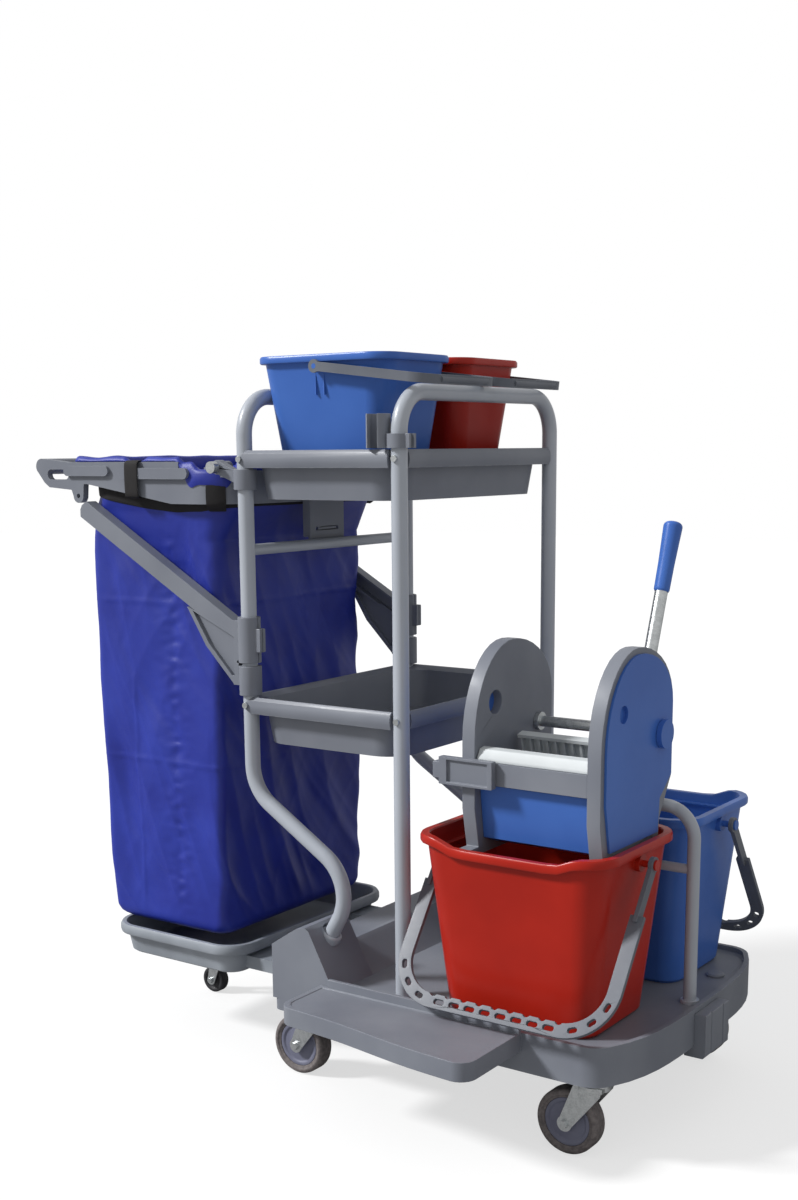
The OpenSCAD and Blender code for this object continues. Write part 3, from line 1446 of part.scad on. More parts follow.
base_platform();
step_tray();
end_bumper();
base_plug();
bag_platform();
front_hoop();
rear_hoop();
frame_crossbar();
tube_collars();
top_tray();
middle_tray();
frame_screws();
handle_clip();
bag_arms();
arm_clamps();
divider_hoop();
hinge_brackets();
hinge_pins();
caster_plates();
bag_ring();
back_stop();
retaining_rails();
bag();
bag_webbing();
bag_cuff();
red_bucket();
red_bail();
blue_bucket();
blue_bail();
small_blue_bucket();
small_blue_bail();
small_red_bucket();
small_red_bail();
left_side_plate();
right_side_plate();
wringer_covers();
front_bar();
bar_clip();
basket();
front_jaw();
press_jaw();
wringer_shaft();
lever_tube();
lever_grip();
near_front_fork();
near_front_tyre();
near_front_hub();
far_front_fork();
far_front_tyre();
far_front_hub();
near_rear_fork();
near_rear_tyre();
near_rear_hub();
far_rear_fork();
far_rear_tyre();
far_rear_hub();
bag_caster_fork();
bag_caster_wheel();
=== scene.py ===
import bpy
import math
import numpy as np
from mathutils import Matrix, Vector, noise


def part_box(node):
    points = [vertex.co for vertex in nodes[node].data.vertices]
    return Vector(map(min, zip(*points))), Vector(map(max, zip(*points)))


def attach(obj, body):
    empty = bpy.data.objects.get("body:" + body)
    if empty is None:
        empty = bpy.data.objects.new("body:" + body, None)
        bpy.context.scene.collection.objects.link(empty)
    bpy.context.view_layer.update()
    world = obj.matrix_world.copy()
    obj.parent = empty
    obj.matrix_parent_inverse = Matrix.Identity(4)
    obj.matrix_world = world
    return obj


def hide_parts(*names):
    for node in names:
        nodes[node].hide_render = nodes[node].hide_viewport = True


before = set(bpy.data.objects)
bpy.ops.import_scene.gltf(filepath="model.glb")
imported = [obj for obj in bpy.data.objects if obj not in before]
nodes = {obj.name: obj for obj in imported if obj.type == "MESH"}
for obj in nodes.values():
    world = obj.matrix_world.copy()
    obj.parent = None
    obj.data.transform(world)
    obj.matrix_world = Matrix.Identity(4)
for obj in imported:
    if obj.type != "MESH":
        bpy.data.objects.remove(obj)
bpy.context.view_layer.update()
scene = bpy.context.scene
scene.view_settings.view_transform = "Standard"
print("frame loaded:", len(nodes), "nodes")

hoopLow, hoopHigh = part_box("front_hoop")
origin = [(hoopLow[k] + hoopHigh[k]) / 2 for k in (0, 1)]  # midway between the front posts


def place(x, y, z):  # cart millimetres, measured from the front posts, to the row frame
    return (x / 1000 + origin[0], y / 1000 + origin[1], z / 1000)


# camera at the photograph's viewing angle

cameraView = {"spot": place(1314.1, -2104.0, 1020.0), "yaw": 35.107, "tilt": 10.995, "roll": -0.5017,
              "focal": 1538.28, "middle": (397.05, 748.04), "image": (798, 1200),  # in photograph pixels
              "sensorMm": 36, "clip": (0.05, 60)}


def makeCamera(view):
    yaw, tilt, roll = (math.radians(view[k]) for k in ("yaw", "tilt", "roll"))
    ahead = Vector((-math.sin(yaw) * math.cos(tilt), math.cos(yaw) * math.cos(tilt), -math.sin(tilt)))
    right = Vector((math.cos(yaw), math.sin(yaw), 0))
    up = right.cross(ahead)
    turnedRight = right * math.cos(roll) + up * math.sin(roll)
    turnedUp = up * math.cos(roll) - right * math.sin(roll)
    data = bpy.data.cameras.new("photoCamera")
    width, height = view["image"]
    data.sensor_width = view["sensorMm"]
    data.lens = view["focal"] / height * data.sensor_width
    data.shift_x = (width / 2 - view["middle"][0]) / height
    data.shift_y = (view["middle"][1] - height / 2) / height
    data.clip_start, data.clip_end = view["clip"]
    camera = bpy.data.objects.new("photoCamera", data)
    scene.collection.objects.link(camera)
    turned = Matrix((turnedRight, turnedUp, -ahead)).transposed().to_4x4()
    camera.matrix_world = Matrix.Translation(view["spot"]) @ turned
    scene.camera = camera


makeCamera(cameraView)
print("camera ready")


# materials, each named for what the real surface is

def linear(hexColour):  # sRGB hex to linear RGBA
    parts = [int(hexColour[i:i + 2], 16) / 255 for i in (1, 3, 5)]
    return [c / 12.92 if c <= 0.04045 else ((c + 0.055) / 1.055) ** 2.4 for c in parts] + [1]


def perMetre(mm):  # pattern scale of a feature that many millimetres wide
    return 1000 / mm


def addNode(tree, kind, settings=None, inputs=None):
    made = tree.nodes.new(kind)
    for key, value in (settings or {}).items():
        setattr(made, key, value)
    for key, value in (inputs or {}).items():
        if isinstance(value, bpy.types.NodeSocket):
            tree.links.new(value, made.inputs[key])
        else:
            made.inputs[key].default_value = value
    return made


def startMaterial(name, viewport):
    material = bpy.data.materials.new(name)
    material.use_nodes = True
    material.diffuse_color = linear(viewport)
    tree = material.node_tree
    spot = addNode(tree, "ShaderNodeTexCoord").outputs["Object"]
    return material, tree, tree.nodes["Principled BSDF"], spot


def edgeMask(tree, widthMm):  # 1 on the edges, whose paler colour is partly rubbed wear and partly a painted highlight; 0 on the flats
    soft = addNode(tree, "ShaderNodeBevel", {"samples": 4}, {"Radius": widthMm / 1000})
    plain = addNode(tree, "ShaderNodeNewGeometry")
    likeness = addNode(tree, "ShaderNodeVectorMath", {"operation": "DOT_PRODUCT"},
                       {0: soft.outputs["Normal"], 1: plain.outputs["Normal"]})
    mask = addNode(tree, "ShaderNodeMapRange", {},
                   {"Value": likeness.outputs["Value"], "From Min": 0.985, "From Max": 0.80,
                    "To Min": 0.0, "To Max": 1.0})
    return mask.outputs["Result"]


# moulded plastic: an even colour with faint flow clouds, a fine spark-eroded grain that breaks the
# highlights, paler edges that are partly rubbed wear and partly a painted highlight
def mouldedPlastic(name, look):
    material, tree, shader, spot = startMaterial(name, look["colour"])
    clouds = addNode(tree, "ShaderNodeTexNoise", {},
                     {"Vector": spot, "Scale": perMetre(look["cloudMm"]), "Detail": 3.0})
    tone = addNode(tree, "ShaderNodeValToRGB", {}, {"Fac": clouds.outputs["Fac"]})
    for end, at, colour in zip(tone.color_ramp.elements, (0.35, 0.68), ("shade", "colour")):
        end.position = at
        end.color = linear(look[colour])
    specks = addNode(tree, "ShaderNodeTexNoise", {},
                     {"Vector": spot, "Scale": perMetre(look["speckMm"]), "Detail": 4.0, "Roughness": 0.65})
    edgePatches = addNode(tree, "ShaderNodeMapRange", {},
                      {"Value": specks.outputs["Fac"], "From Min": 0.42, "From Max": 0.7})
    wearAndHighlight = addNode(tree, "ShaderNodeMath", {"operation": "MULTIPLY"},
                   {0: edgeMask(tree, look["edgeMm"]), 1: edgePatches.outputs["Result"]})
    # paler edges in patches: rubbed wear together with a painted highlight
    wornAndLitEdge = addNode(tree, "ShaderNodeMix", {"data_type": "RGBA"},
                   {"Factor": wearAndHighlight.outputs["Value"], 6: tone.outputs["Color"], 7: linear(look["edge"])})
    tree.links.new(wornAndLitEdge.outputs[2], shader.inputs["Base Color"])
    gloss = addNode(tree, "ShaderNodeMapRange", {},
                    {"Value": specks.outputs["Fac"],
                     "To Min": look["rough"] - 0.06, "To Max": look["rough"] + 0.08})
    tree.links.new(gloss.outputs["Result"], shader.inputs["Roughness"])
    grain = addNode(tree, "ShaderNodeTexNoise", {},
                    {"Vector": spot, "Scale": perMetre(look["grainMm"]), "Detail": 2.0})
    bump = addNode(tree, "ShaderNodeBump", {},
                   {"Strength": look["grain"], "Distance": 0.0004, "Height": grain.outputs["Fac"]})
    tree.links.new(bump.outputs["Normal"], shader.inputs["Normal"])
    shader.inputs["IOR"].default_value = 1.49  # polypropylene
    shader.inputs["Specular IOR Level"].default_value = look["shine"]
    shader.inputs["Coat Weight"].default_value = look["coat"]
    shader.inputs["Coat Roughness"].default_value = 0.18
    return material


# edge: the paler edge colour, partly rubbed wear and partly a painted highlight
plasticLooks = {
    # grain drawn at 1.4 to 2.4 mm, coarser than the real 0.3 mm, so that it shows
    "greyPolypropylene": {"colour": "#82868f", "shade": "#767a84", "edge": "#9a9fa6", "rough": 0.44,
                          "coat": 0.04, "shine": 0.3, "cloudMm": 140, "speckMm": 9, "grainMm": 1.6,
                          "grain": 0.16, "edgeMm": 2.2},
    # the bails: the grey polypropylene painted darker as shade, because the bails face the light
    "bailGreyPaintedShade": {"colour": "#6f737b", "shade": "#646871", "edge": "#868b92", "rough": 0.46,
                          "coat": 0.03, "shine": 0.25, "cloudMm": 90, "speckMm": 9, "grainMm": 1.6,
                          "grain": 0.14, "edgeMm": 1.6},
    "paleGreyPolypropylene": {"colour": "#a2a8b0", "shade": "#838991", "edge": "#a4a9ae", "rough": 0.44,
                              "coat": 0.04, "shine": 0.3, "cloudMm": 140, "speckMm": 9, "grainMm": 1.6,
                              "grain": 0.16, "edgeMm": 2.2},
    "bluePolypropylene": {"colour": "#4671c2", "shade": "#3e67b7", "edge": "#6688cf", "rough": 0.33,
                          "coat": 0.05, "shine": 0.24, "cloudMm": 160, "speckMm": 12, "grainMm": 2.4,
                          "grain": 0.07, "edgeMm": 1.6},
    "redPolypropylene": {"colour": "#b62617", "shade": "#a62013", "edge": "#c2432f", "rough": 0.32,
                         "coat": 0.05, "shine": 0.24, "cloudMm": 160, "speckMm": 12, "grainMm": 2.4,
                         "grain": 0.07, "edgeMm": 1.6},
    "whitePolypropylene": {"colour": "#d3d8da", "shade": "#c6cbcd", "edge": "#dfe3e4", "rough": 0.42,
                           "coat": 0.04, "shine": 0.3, "cloudMm": 90, "speckMm": 8, "grainMm": 1.6,
                           "grain": 0.1, "edgeMm": 1.2},
    "hubNylon": {"colour": "#7a7c8e", "shade": "#6b6d80", "edge": "#9a9cab", "rough": 0.46, "coat": 0.0,
                 "shine": 0.3, "cloudMm": 40, "speckMm": 5, "grainMm": 1.4, "grain": 0.14, "edgeMm": 1.2},
    "blackNylon": {"colour": "#3b3b3e", "shade": "#303033", "edge": "#5a5a5e", "rough": 0.5, "coat": 0.0,
                   "shine": 0.3, "cloudMm": 40, "speckMm": 5, "grainMm": 1.4, "grain": 0.14, "edgeMm": 1.2},
}
plastics = {name: mouldedPlastic(name, look) for name, look in plasticLooks.items()}


# powder-coated steel tube: a satin skin with orange peel a few millimetres across
tubeLook = {"colour": "#b3b8c1", "shade": "#a8aeb7", "peelMm": 3.2, "cloudMm": 220, "rough": 0.36}


def powderCoat(look):
    material, tree, shader, spot = startMaterial("powderCoatedSteel", look["colour"])
    clouds = addNode(tree, "ShaderNodeTexNoise", {},
                     {"Vector": spot, "Scale": perMetre(look["cloudMm"]), "Detail": 4.0})
    tone = addNode(tree, "ShaderNodeValToRGB", {}, {"Fac": clouds.outputs["Fac"]})
    for end, at, colour in zip(tone.color_ramp.elements, (0.35, 0.7), ("shade", "colour")):
        end.position = at
        end.color = linear(look[colour])
    tree.links.new(tone.outputs["Color"], shader.inputs["Base Color"])
    peel = addNode(tree, "ShaderNodeTexNoise", {},
                   {"Vector": spot, "Scale": perMetre(look["peelMm"]), "Detail": 2.0})
    gloss = addNode(tree, "ShaderNodeMapRange", {},
                    {"Value": clouds.outputs["Fac"],
                     "To Min": look["rough"] - 0.05, "To Max": look["rough"] + 0.05})
    tree.links.new(gloss.outputs["Result"], shader.inputs["Roughness"])
    bump = addNode(tree, "ShaderNodeBump", {},
                   {"Strength": 0.12, "Distance": 0.0004, "Height": peel.outputs["Fac"]})
    tree.links.new(bump.outputs["Normal"], shader.inputs["Normal"])
    shader.inputs["IOR"].default_value = 1.52  # polyester resin
    shader.inputs["Coat Weight"].default_value = 0.25
    shader.inputs["Coat Roughness"].default_value = 0.22
    return material


# zinc-plated steel: bright metal with a faint spangle and dull handling marks
zincLook = {"colour": "#d3d6d7", "shade": "#b6babb", "spangleMm": 7, "streakMm": 2.5, "rough": 0.30}


def zincPlate(look):
    material, tree, shader, spot = startMaterial("zincPlatedSteel", look["colour"])
    spangle = addNode(tree, "ShaderNodeTexVoronoi", {},
                      {"Vector": spot, "Scale": perMetre(look["spangleMm"])})
    streaks = addNode(tree, "ShaderNodeTexNoise", {},
                      {"Vector": spot, "Scale": perMetre(look["streakMm"]), "Detail": 5.0})
    mixed = addNode(tree, "ShaderNodeMath", {"operation": "MULTIPLY_ADD"},
                    {0: spangle.outputs["Color"], 1: 0.35, 2: streaks.outputs["Fac"]})
    tone = addNode(tree, "ShaderNodeValToRGB", {}, {"Fac": mixed.outputs["Value"]})
    for end, at, colour in zip(tone.color_ramp.elements, (0.35, 0.85), ("shade", "colour")):
        end.position = at
        end.color = linear(look[colour])
    tree.links.new(tone.outputs["Color"], shader.inputs["Base Color"])
    gloss = addNode(tree, "ShaderNodeMapRange", {},
                    {"Value": streaks.outputs["Fac"],
                     "To Min": look["rough"] - 0.08, "To Max": look["rough"] + 0.14})
    tree.links.new(gloss.outputs["Result"], shader.inputs["Roughness"])
    shader.inputs["Metallic"].default_value = 1.0
    return material


# grey thermoplastic rubber: matt, with dust rubbed into a mottled tread
rubberLook = {"colour": "#7a7372", "shade": "#605a5a", "mottleMm": 6, "grainMm": 1.5, "rough": 0.72}


def tyreRubber(look):
    material, tree, shader, spot = startMaterial("greyRubber", look["colour"])
    mottle = addNode(tree, "ShaderNodeTexNoise", {},
                     {"Vector": spot, "Scale": perMetre(look["mottleMm"]), "Detail": 5.0})
    tone = addNode(tree, "ShaderNodeValToRGB", {}, {"Fac": mottle.outputs["Fac"]})
    for end, at, colour in zip(tone.color_ramp.elements, (0.35, 0.65), ("shade", "colour")):
        end.position = at
        end.color = linear(look[colour])
    tree.links.new(tone.outputs["Color"], shader.inputs["Base Color"])
    grain = addNode(tree, "ShaderNodeTexNoise", {},
                    {"Vector": spot, "Scale": perMetre(look["grainMm"]), "Detail": 3.0})
    bump = addNode(tree, "ShaderNodeBump", {},
                   {"Strength": 0.25, "Distance": 0.0005, "Height": grain.outputs["Fac"]})
    tree.links.new(bump.outputs["Normal"], shader.inputs["Normal"])
    gloss = addNode(tree, "ShaderNodeMapRange", {},
                    {"Value": mottle.outputs["Fac"],
                     "To Min": look["rough"] - 0.08, "To Max": look["rough"] + 0.1})
    tree.links.new(gloss.outputs["Result"], shader.inputs["Roughness"])
    return material


# woven cloth: threads over and under as two crossed waves, with sheen from the coated yarn
def wovenCloth(name, look):
    material, tree, shader, spot = startMaterial(name, look["colour"])
    parts = addNode(tree, "ShaderNodeSeparateXYZ", {}, {"Vector": spot})
    along = addNode(tree, "ShaderNodeMath", {"operation": "ADD"},
                    {0: parts.outputs["X"], 1: parts.outputs["Y"]})
    turns = 2 * math.pi / (look["threadMm"] / 1000)

    def threadWave(source):
        angle = addNode(tree, "ShaderNodeMath", {"operation": "MULTIPLY"}, {0: source, 1: turns})
        wave = addNode(tree, "ShaderNodeMath", {"operation": "SINE"}, {0: angle.outputs["Value"]})
        return wave.outputs["Value"]

    weave = addNode(tree, "ShaderNodeMath", {"operation": "MULTIPLY"},
                    {0: threadWave(along.outputs["Value"]), 1: threadWave(parts.outputs["Z"])})
    clouds = addNode(tree, "ShaderNodeTexNoise", {},
                     {"Vector": spot, "Scale": perMetre(look["cloudMm"]), "Detail": 4.0})
    weaveTone = addNode(tree, "ShaderNodeMath", {"operation": "MULTIPLY_ADD"},
                        {0: weave.outputs["Value"], 1: look["threadTone"], 2: clouds.outputs["Fac"]})
    tone = addNode(tree, "ShaderNodeValToRGB", {}, {"Fac": weaveTone.outputs["Value"]})
    for end, at, colour in zip(tone.color_ramp.elements, (0.3, 0.72), ("shade", "colour")):
        end.position = at
        end.color = linear(look[colour])
    tree.links.new(tone.outputs["Color"], shader.inputs["Base Color"])
    bump = addNode(tree, "ShaderNodeBump", {},
                   {"Strength": look["weave"], "Distance": 0.0004, "Height": weave.outputs["Value"]})
    creases = addNode(tree, "ShaderNodeTexNoise", {},
                      {"Vector": spot, "Scale": perMetre(look["creaseMm"]), "Detail": 3.0, "Distortion": 1.2})
    soft = addNode(tree, "ShaderNodeBump", {},
                   {"Strength": look["crease"], "Distance": 0.004, "Height": creases.outputs["Fac"],
                    "Normal": bump.outputs["Normal"]})
    tree.links.new(soft.outputs["Normal"], shader.inputs["Normal"])
    gloss = addNode(tree, "ShaderNodeMapRange", {},
                    {"Value": clouds.outputs["Fac"],
                     "To Min": look["rough"] - 0.06, "To Max": look["rough"] + 0.06})
    tree.links.new(gloss.outputs["Result"], shader.inputs["Roughness"])
    shader.inputs["Sheen Weight"].default_value = look["sheen"]
    shader.inputs["Sheen Roughness"].default_value = 0.4
    shader.inputs["Sheen Tint"].default_value = linear(look["sheenTint"])
    return material


clothLooks = {
    # nylon thread spacing drawn at 2.2 mm, real about 0.5 mm, so that it shows
    "coatedNylon": {"colour": "#2135a2", "shade": "#182890", "threadMm": 2.2, "threadTone": 0.05,
                    "cloudMm": 90, "weave": 0.16, "creaseMm": 70, "crease": 0.2, "rough": 0.47,
                    "sheen": 0.12, "sheenTint": "#7a80ff"},
    "polyesterWebbing": {"colour": "#151113", "shade": "#0c090a", "threadMm": 3.0, "threadTone": 0.2,
                         "cloudMm": 25, "weave": 0.5, "creaseMm": 30, "crease": 0.1, "rough": 0.8,
                         "sheen": 0.04, "sheenTint": "#60585c"},
}
cloths = {name: wovenCloth(name, look) for name, look in clothLooks.items()}
steelTube = powderCoat(tubeLook)
zincSteel = zincPlate(zincLook)
rubber = tyreRubber(rubberLook)
print("materials ready")


# the carried-over solids and their finishes

greySolids = ("base_platform step_tray end_bumper base_plug top_tray middle_tray handle_clip bag_arms "
              "arm_clamps hinge_brackets bag_ring back_stop retaining_rails "
              "left_side_plate right_side_plate front_bar bar_clip").split()
tubeSolids = "front_hoop rear_hoop frame_crossbar tube_collars divider_hoop".split()
blueSolids = "blue_bucket small_blue_bucket wringer_covers basket lever_grip".split()
redSolids = "red_bucket small_red_bucket".split()
bailSolids = "red_bail blue_bail small_blue_bail small_red_bail".split()
casterNames = ("near_front", "far_front", "near_rear", "far_rear")
zincSolids = "frame_screws hinge_pins caster_plates wringer_shaft lever_tube bag_caster_fork".split()
zincSolids += [n + "_fork" for n in casterNames]
finishes = [(greySolids, plastics["greyPolypropylene"]),
            (tubeSolids, steelTube),
            (blueSolids, plastics["bluePolypropylene"]),
            (redSolids, plastics["redPolypropylene"]),
            (["press_jaw"], plastics["whitePolypropylene"]),
            (zincSolids, zincSteel),
            ([n + "_tyre" for n in casterNames], rubber),
            ([n + "_hub" for n in casterNames], plastics["hubNylon"]),
            (["bag_caster_wheel"], plastics["blackNylon"]),
            (["bag_platform"], plastics["paleGreyPolypropylene"]),
            (bailSolids, plastics["bailGreyPaintedShade"])]
# moulded edges are never knife sharp
edgeRounds = {"roundMm": 1.2, "segments": 2, "angle": 38, "weldMm": 0.02}


def dressSolid(solid, material, rounds):
    solid.data.materials.clear()
    solid.data.materials.append(material)
    for face in solid.data.polygons:
        face.use_smooth = True
    weld = solid.modifiers.new("weld", "WELD")
    weld.merge_threshold = rounds["weldMm"] / 1000
    bevel = solid.modifiers.new("edgeRound", "BEVEL")
    bevel.width = rounds["roundMm"] / 1000
    bevel.segments = rounds["segments"]
    bevel.limit_method = "ANGLE"
    bevel.angle_limit = math.radians(rounds["angle"])
    bevel.use_clamp_overlap = True
    bevel.harden_normals = False
    normals = solid.modifiers.new("faceNormals", "WEIGHTED_NORMAL")
    normals.keep_sharp = True


for names, material in finishes:
    for n in names:
        dressSolid(nodes[n], material, edgeRounds)

# the shaft's end caps outside the covers are blue mouldings, not steel
coverLow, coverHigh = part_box("wringer_covers")
shaft = nodes["wringer_shaft"]
shaft.data.materials.append(plastics["bluePolypropylene"])
capMargin = 0.0005
for face in shaft.data.polygons:
    if not coverLow[0] + capMargin < face.center.x < coverHigh[0] - capMargin:
        face.material_index = 1
print("solids dressed:", sum(len(names) for names, _ in finishes))


# meshes of the pieces that take a solid's place

def newPiece(name, points, faces, material):  # points in cart millimetres
    mesh = bpy.data.meshes.new(name)
    mesh.from_pydata([place(*p) for p in points], [], faces)
    mesh.update()
    for face in mesh.polygons:
        face.use_smooth = True
    mesh.materials.append(material)
    made = bpy.data.objects.new(name, mesh)
    scene.collection.objects.link(made)
    return made


def bandFaces(rows, count):  # the skin over closed rows of points, count in each
    faces = []
    for k in range(rows - 1):
        for i in range(count):
            j = (i + 1) % count
            faces.append((k * count + i, k * count + j, (k + 1) * count + j, (k + 1) * count + i))
    return faces


def evenLoop(start, corners, count):
    # evenly spaced points through round corners (x, y, radius, first angle), counter-clockwise from start
    ring = [start]
    for x, y, radius, first in corners:
        for turn in range(0, 91, 6):
            a = math.radians(first + turn)
            ring.append((x + radius * math.cos(a), y + radius * math.sin(a)))
    ring = np.array(ring + [start])
    run = np.concatenate([[0], np.cumsum(np.linalg.norm(np.diff(ring, axis=0), axis=1))])
    want = np.linspace(0, run[-1], count, endpoint=False)
    return np.stack([np.interp(want, run, ring[:, 0]), np.interp(want, run, ring[:, 1])], 1)


def ease(low, high, value):
    t = min(1, max(0, (value - low) / (high - low)))
    return t * t * (3 - 2 * t)


# the white front jaw: a flared lip stands on the front bar and slopes back into the basket
jawShape = {"from": 145.05, "to": 326.95,
            # across the wringer and up, in cart millimetres
            "outline": ((-239, 577.6), (-232, 590.5), (-220, 592.5), (-173, 472.3), (-173, 468.3),
                        (-179, 472.3), (-229, 572.6), (-239, 572.6))}


def jawLip(shape):
    outline = shape["outline"]
    count = len(outline)
    points = [(x, y, z) for x in (shape["from"], shape["to"]) for y, z in outline]
    faces = [tuple(range(count)), tuple(range(2 * count - 1, count - 1, -1))]
    for i in range(count):
        j = (i + 1) % count
        faces.append((j, i, i + count, j + count))
    return newPiece("jawLip", points, faces, plastics["whitePolypropylene"])


lip = jawLip(jawShape)
dressSolid(lip, plastics["whitePolypropylene"], edgeRounds)
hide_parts("front_jaw")
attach(lip, "wringer")
print("front jaw ready")


# the laundry bag: a sewn tube that hangs in the ring, with slack folds, a puckered side seam and a flat foot
bagShape = {"count": 420, "roundMm": 1390, "nearBand": 6,  # the near side reaches this far in from its face
            # heights of the rows: from, to, how many
            "walls": ((197, 232, 10), (237, 870, 160), (875, 987, 24)),
            # height, left, right, half width, corner radius
            "rings": ((197, -640, -399, 190, 26), (203, -652, -392, 197, 24), (214, -658, -389, 200, 22),
                      (260, -662, -386, 203, 20), (420, -668, -384, 203, 20), (600, -673, -383, 203, 20),
                      (760, -674, -382, 203.5, 21), (850, -674, -381, 204, 23), (875, -674, -382, 204, 26),
                      (921, -674, -354, 207, 44), (943, -674, -335, 213, 72), (965, -676, -335, 213, 73),
                      (987, -677, -335, 213, 73)),
            # lean from upright in radians, width in mm, height in mm, place in the noise
            "drapes": ((0.50, 100, 9.0, 1.7), (0.36, 50, 4.6, 4.2), (-0.45, 74, 2.9, 7.9),
                       (0.7, 27, 1.3, 9.3)),
            "drapeLong": 9, "wanderMm": (210, 260), "crest": 0.55, "steep": 2.1, "gentle": 1.2,
            "settle": 7.6, "pushIn": -17.0, "pushOut": 4.0,
            # creases from folding it flat: heights, and one upright line below a height
            "creaseLevels": (768, 493), "creaseMm": 2.0, "creaseDrift": 6, "creaseWide": 3.5,
            "lineX": -580, "lineTop": 640, "lineMm": 1.8, "lineDrift": 4,
            # the sewn side seam, its stitches and the ruffled strip beside it
            "seamX": -487, "seamWide": 9, "sinkMm": 1.02, "puckerMm": 0.85, "stitchMm": 3.9,
            "stitchDrift": (3.0, 24), "ruffleMm": 1.3, "ruffleWide": 36, "ruffleGrid": (21, 11),
            # the folds fade below the neck and above the foot (height, length), and between two places near
            # the taut left end, down to a share of their depth
            "neckFade": (917, 90), "footFade": (200, 60), "footSlack": 0.15,
            "tautEnd": (12, 60), "tautSlack": 0.3,
            # rings of the foot panel as shares of its outline
            "foot": 197, "footShares": (0.9, 0.75, 0.55, 0.3), "footWave": 0.8, "footWide": 40}


def ridge(offset, wide):  # a rounded fold with a crisp crest
    return math.exp(-abs(offset) / wide) - 0.3 * math.exp(-offset * offset / (9 * wide * wide))


def bagFolds(shape, run, z, near):  # how far the cloth stands out, run mm round the bag from its near middle
    aroundMm, upMm = shape["wanderMm"]
    drift = noise.noise(Vector((run / aroundMm, z / upMm, 0.7)))
    push = -shape["settle"]
    # drapes that run down and across from the ring, long one way and narrow the other
    for lean, wide, tall, start in shape["drapes"]:
        across = (run * math.cos(lean) + z * math.sin(lean)) / wide + 0.5 * drift
        along = (z * math.cos(lean) - run * math.sin(lean)) / (wide * shape["drapeLong"])
        fold = noise.noise(Vector((across, along, start)))
        slope = shape["steep"] if fold < 0 else shape["gentle"]
        push += tall * (shape["crest"] - abs(fold) * slope)
    for level in shape["creaseLevels"]:
        push += shape["creaseMm"] * ridge(z - level - shape["creaseDrift"] * drift, shape["creaseWide"])
    if near is not None:
        if z < shape["lineTop"]:
            line = near - shape["lineX"] - shape["lineDrift"] * drift
            push += shape["lineMm"] * ridge(line, shape["creaseWide"])
        seam = (near - shape["seamX"]) / shape["seamWide"]
        stray, strayMm = shape["stitchDrift"]
        stitch = math.sin(z / shape["stitchMm"] + stray * noise.noise(Vector((0, 0, z / strayMm))))
        push += math.exp(-seam * seam) * (shape["puckerMm"] * stitch - shape["sinkMm"])
        beside = (near - shape["seamX"]) / shape["ruffleWide"]
        alongMm, upMm = shape["ruffleGrid"]
        ruffle = noise.noise(Vector((near / alongMm, 1.3, z / upMm)))
        push += math.exp(-beside * beside) * shape["ruffleMm"] * ruffle
    return push


def bagLoop(shape, z, offset, count):  # the bag's outline at height z, offset mm outside the cloth
    table = np.array(shape["rings"], float)
    left, right, half, radius = (np.interp(z, table[:, 0], table[:, k]) for k in (1, 2, 3, 4))
    left, right, half, radius = left - offset, right + offset, half + offset, radius + offset
    corners = ((right - radius, -half + radius, radius, -90), (right - radius, half - radius, radius, 0),
               (left + radius, half - radius, radius, 90), (left + radius, -half + radius, radius, 180))
    return evenLoop(((left + right) / 2, -half), corners, count), left, half


def bagCloth(shape):
    count = shape["count"]
    walls = np.concatenate([np.linspace(*band) for band in shape["walls"]])
    neck, neckLong = shape["neckFade"]
    low, lowLong = shape["footFade"]
    tautFrom, tautTo = shape["tautEnd"]
    taut = shape["tautSlack"]
    footWide = shape["footWide"]
    points = []
    for z in walls:
        loop, left, half = bagLoop(shape, z, 0, count)
        ahead = np.roll(loop, -1, 0) - np.roll(loop, 1, 0)
        out = np.stack([ahead[:, 1], -ahead[:, 0]], 1)
        out /= np.linalg.norm(out, axis=1)[:, None]
        slack = min(1, max(0, (neck - z) / neckLong)) * min(1, max(shape["footSlack"], (z - low) / lowLong))
        for i, (x, y) in enumerate(loop):
            run = (i / count - round(i / count)) * shape["roundMm"]
            push = bagFolds(shape, run, z, x if y < -half + shape["nearBand"] else None)
            push = max(shape["pushIn"], min(shape["pushOut"], push)) * slack
            push *= taut + (1 - taut) * ease(left + tautFrom, left + tautTo, x)
            points.append((x + out[i, 0] * push, y + out[i, 1] * push, z))
    faces = bandFaces(len(walls), count)
    foot = np.array(points[:count])  # the bottom panel, in rings that shrink to its middle
    centre = foot.mean(0)
    before = 0
    for share in shape["footShares"]:
        first = len(points)
        for x, y, _ in centre + (foot - centre) * share:
            wave = shape["footWave"] * noise.noise(Vector((x / footWide, y / footWide, 2.2)))
            points.append((x, y, shape["foot"] - wave))
        for i in range(count):
            j = (i + 1) % count
            faces.append((before + j, before + i, first + i, first + j))
        before = first
    points.append(tuple(centre))
    faces += [(before + (i + 1) % count, before + i, len(points) - 1) for i in range(count)]
    return newPiece("laundryBag", points, faces, cloths["coatedNylon"])


bag = bagCloth(bagShape)
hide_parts("bag")
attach(bag, "bag_frame")
print("bag sewn:", len(bag.data.vertices), "points")


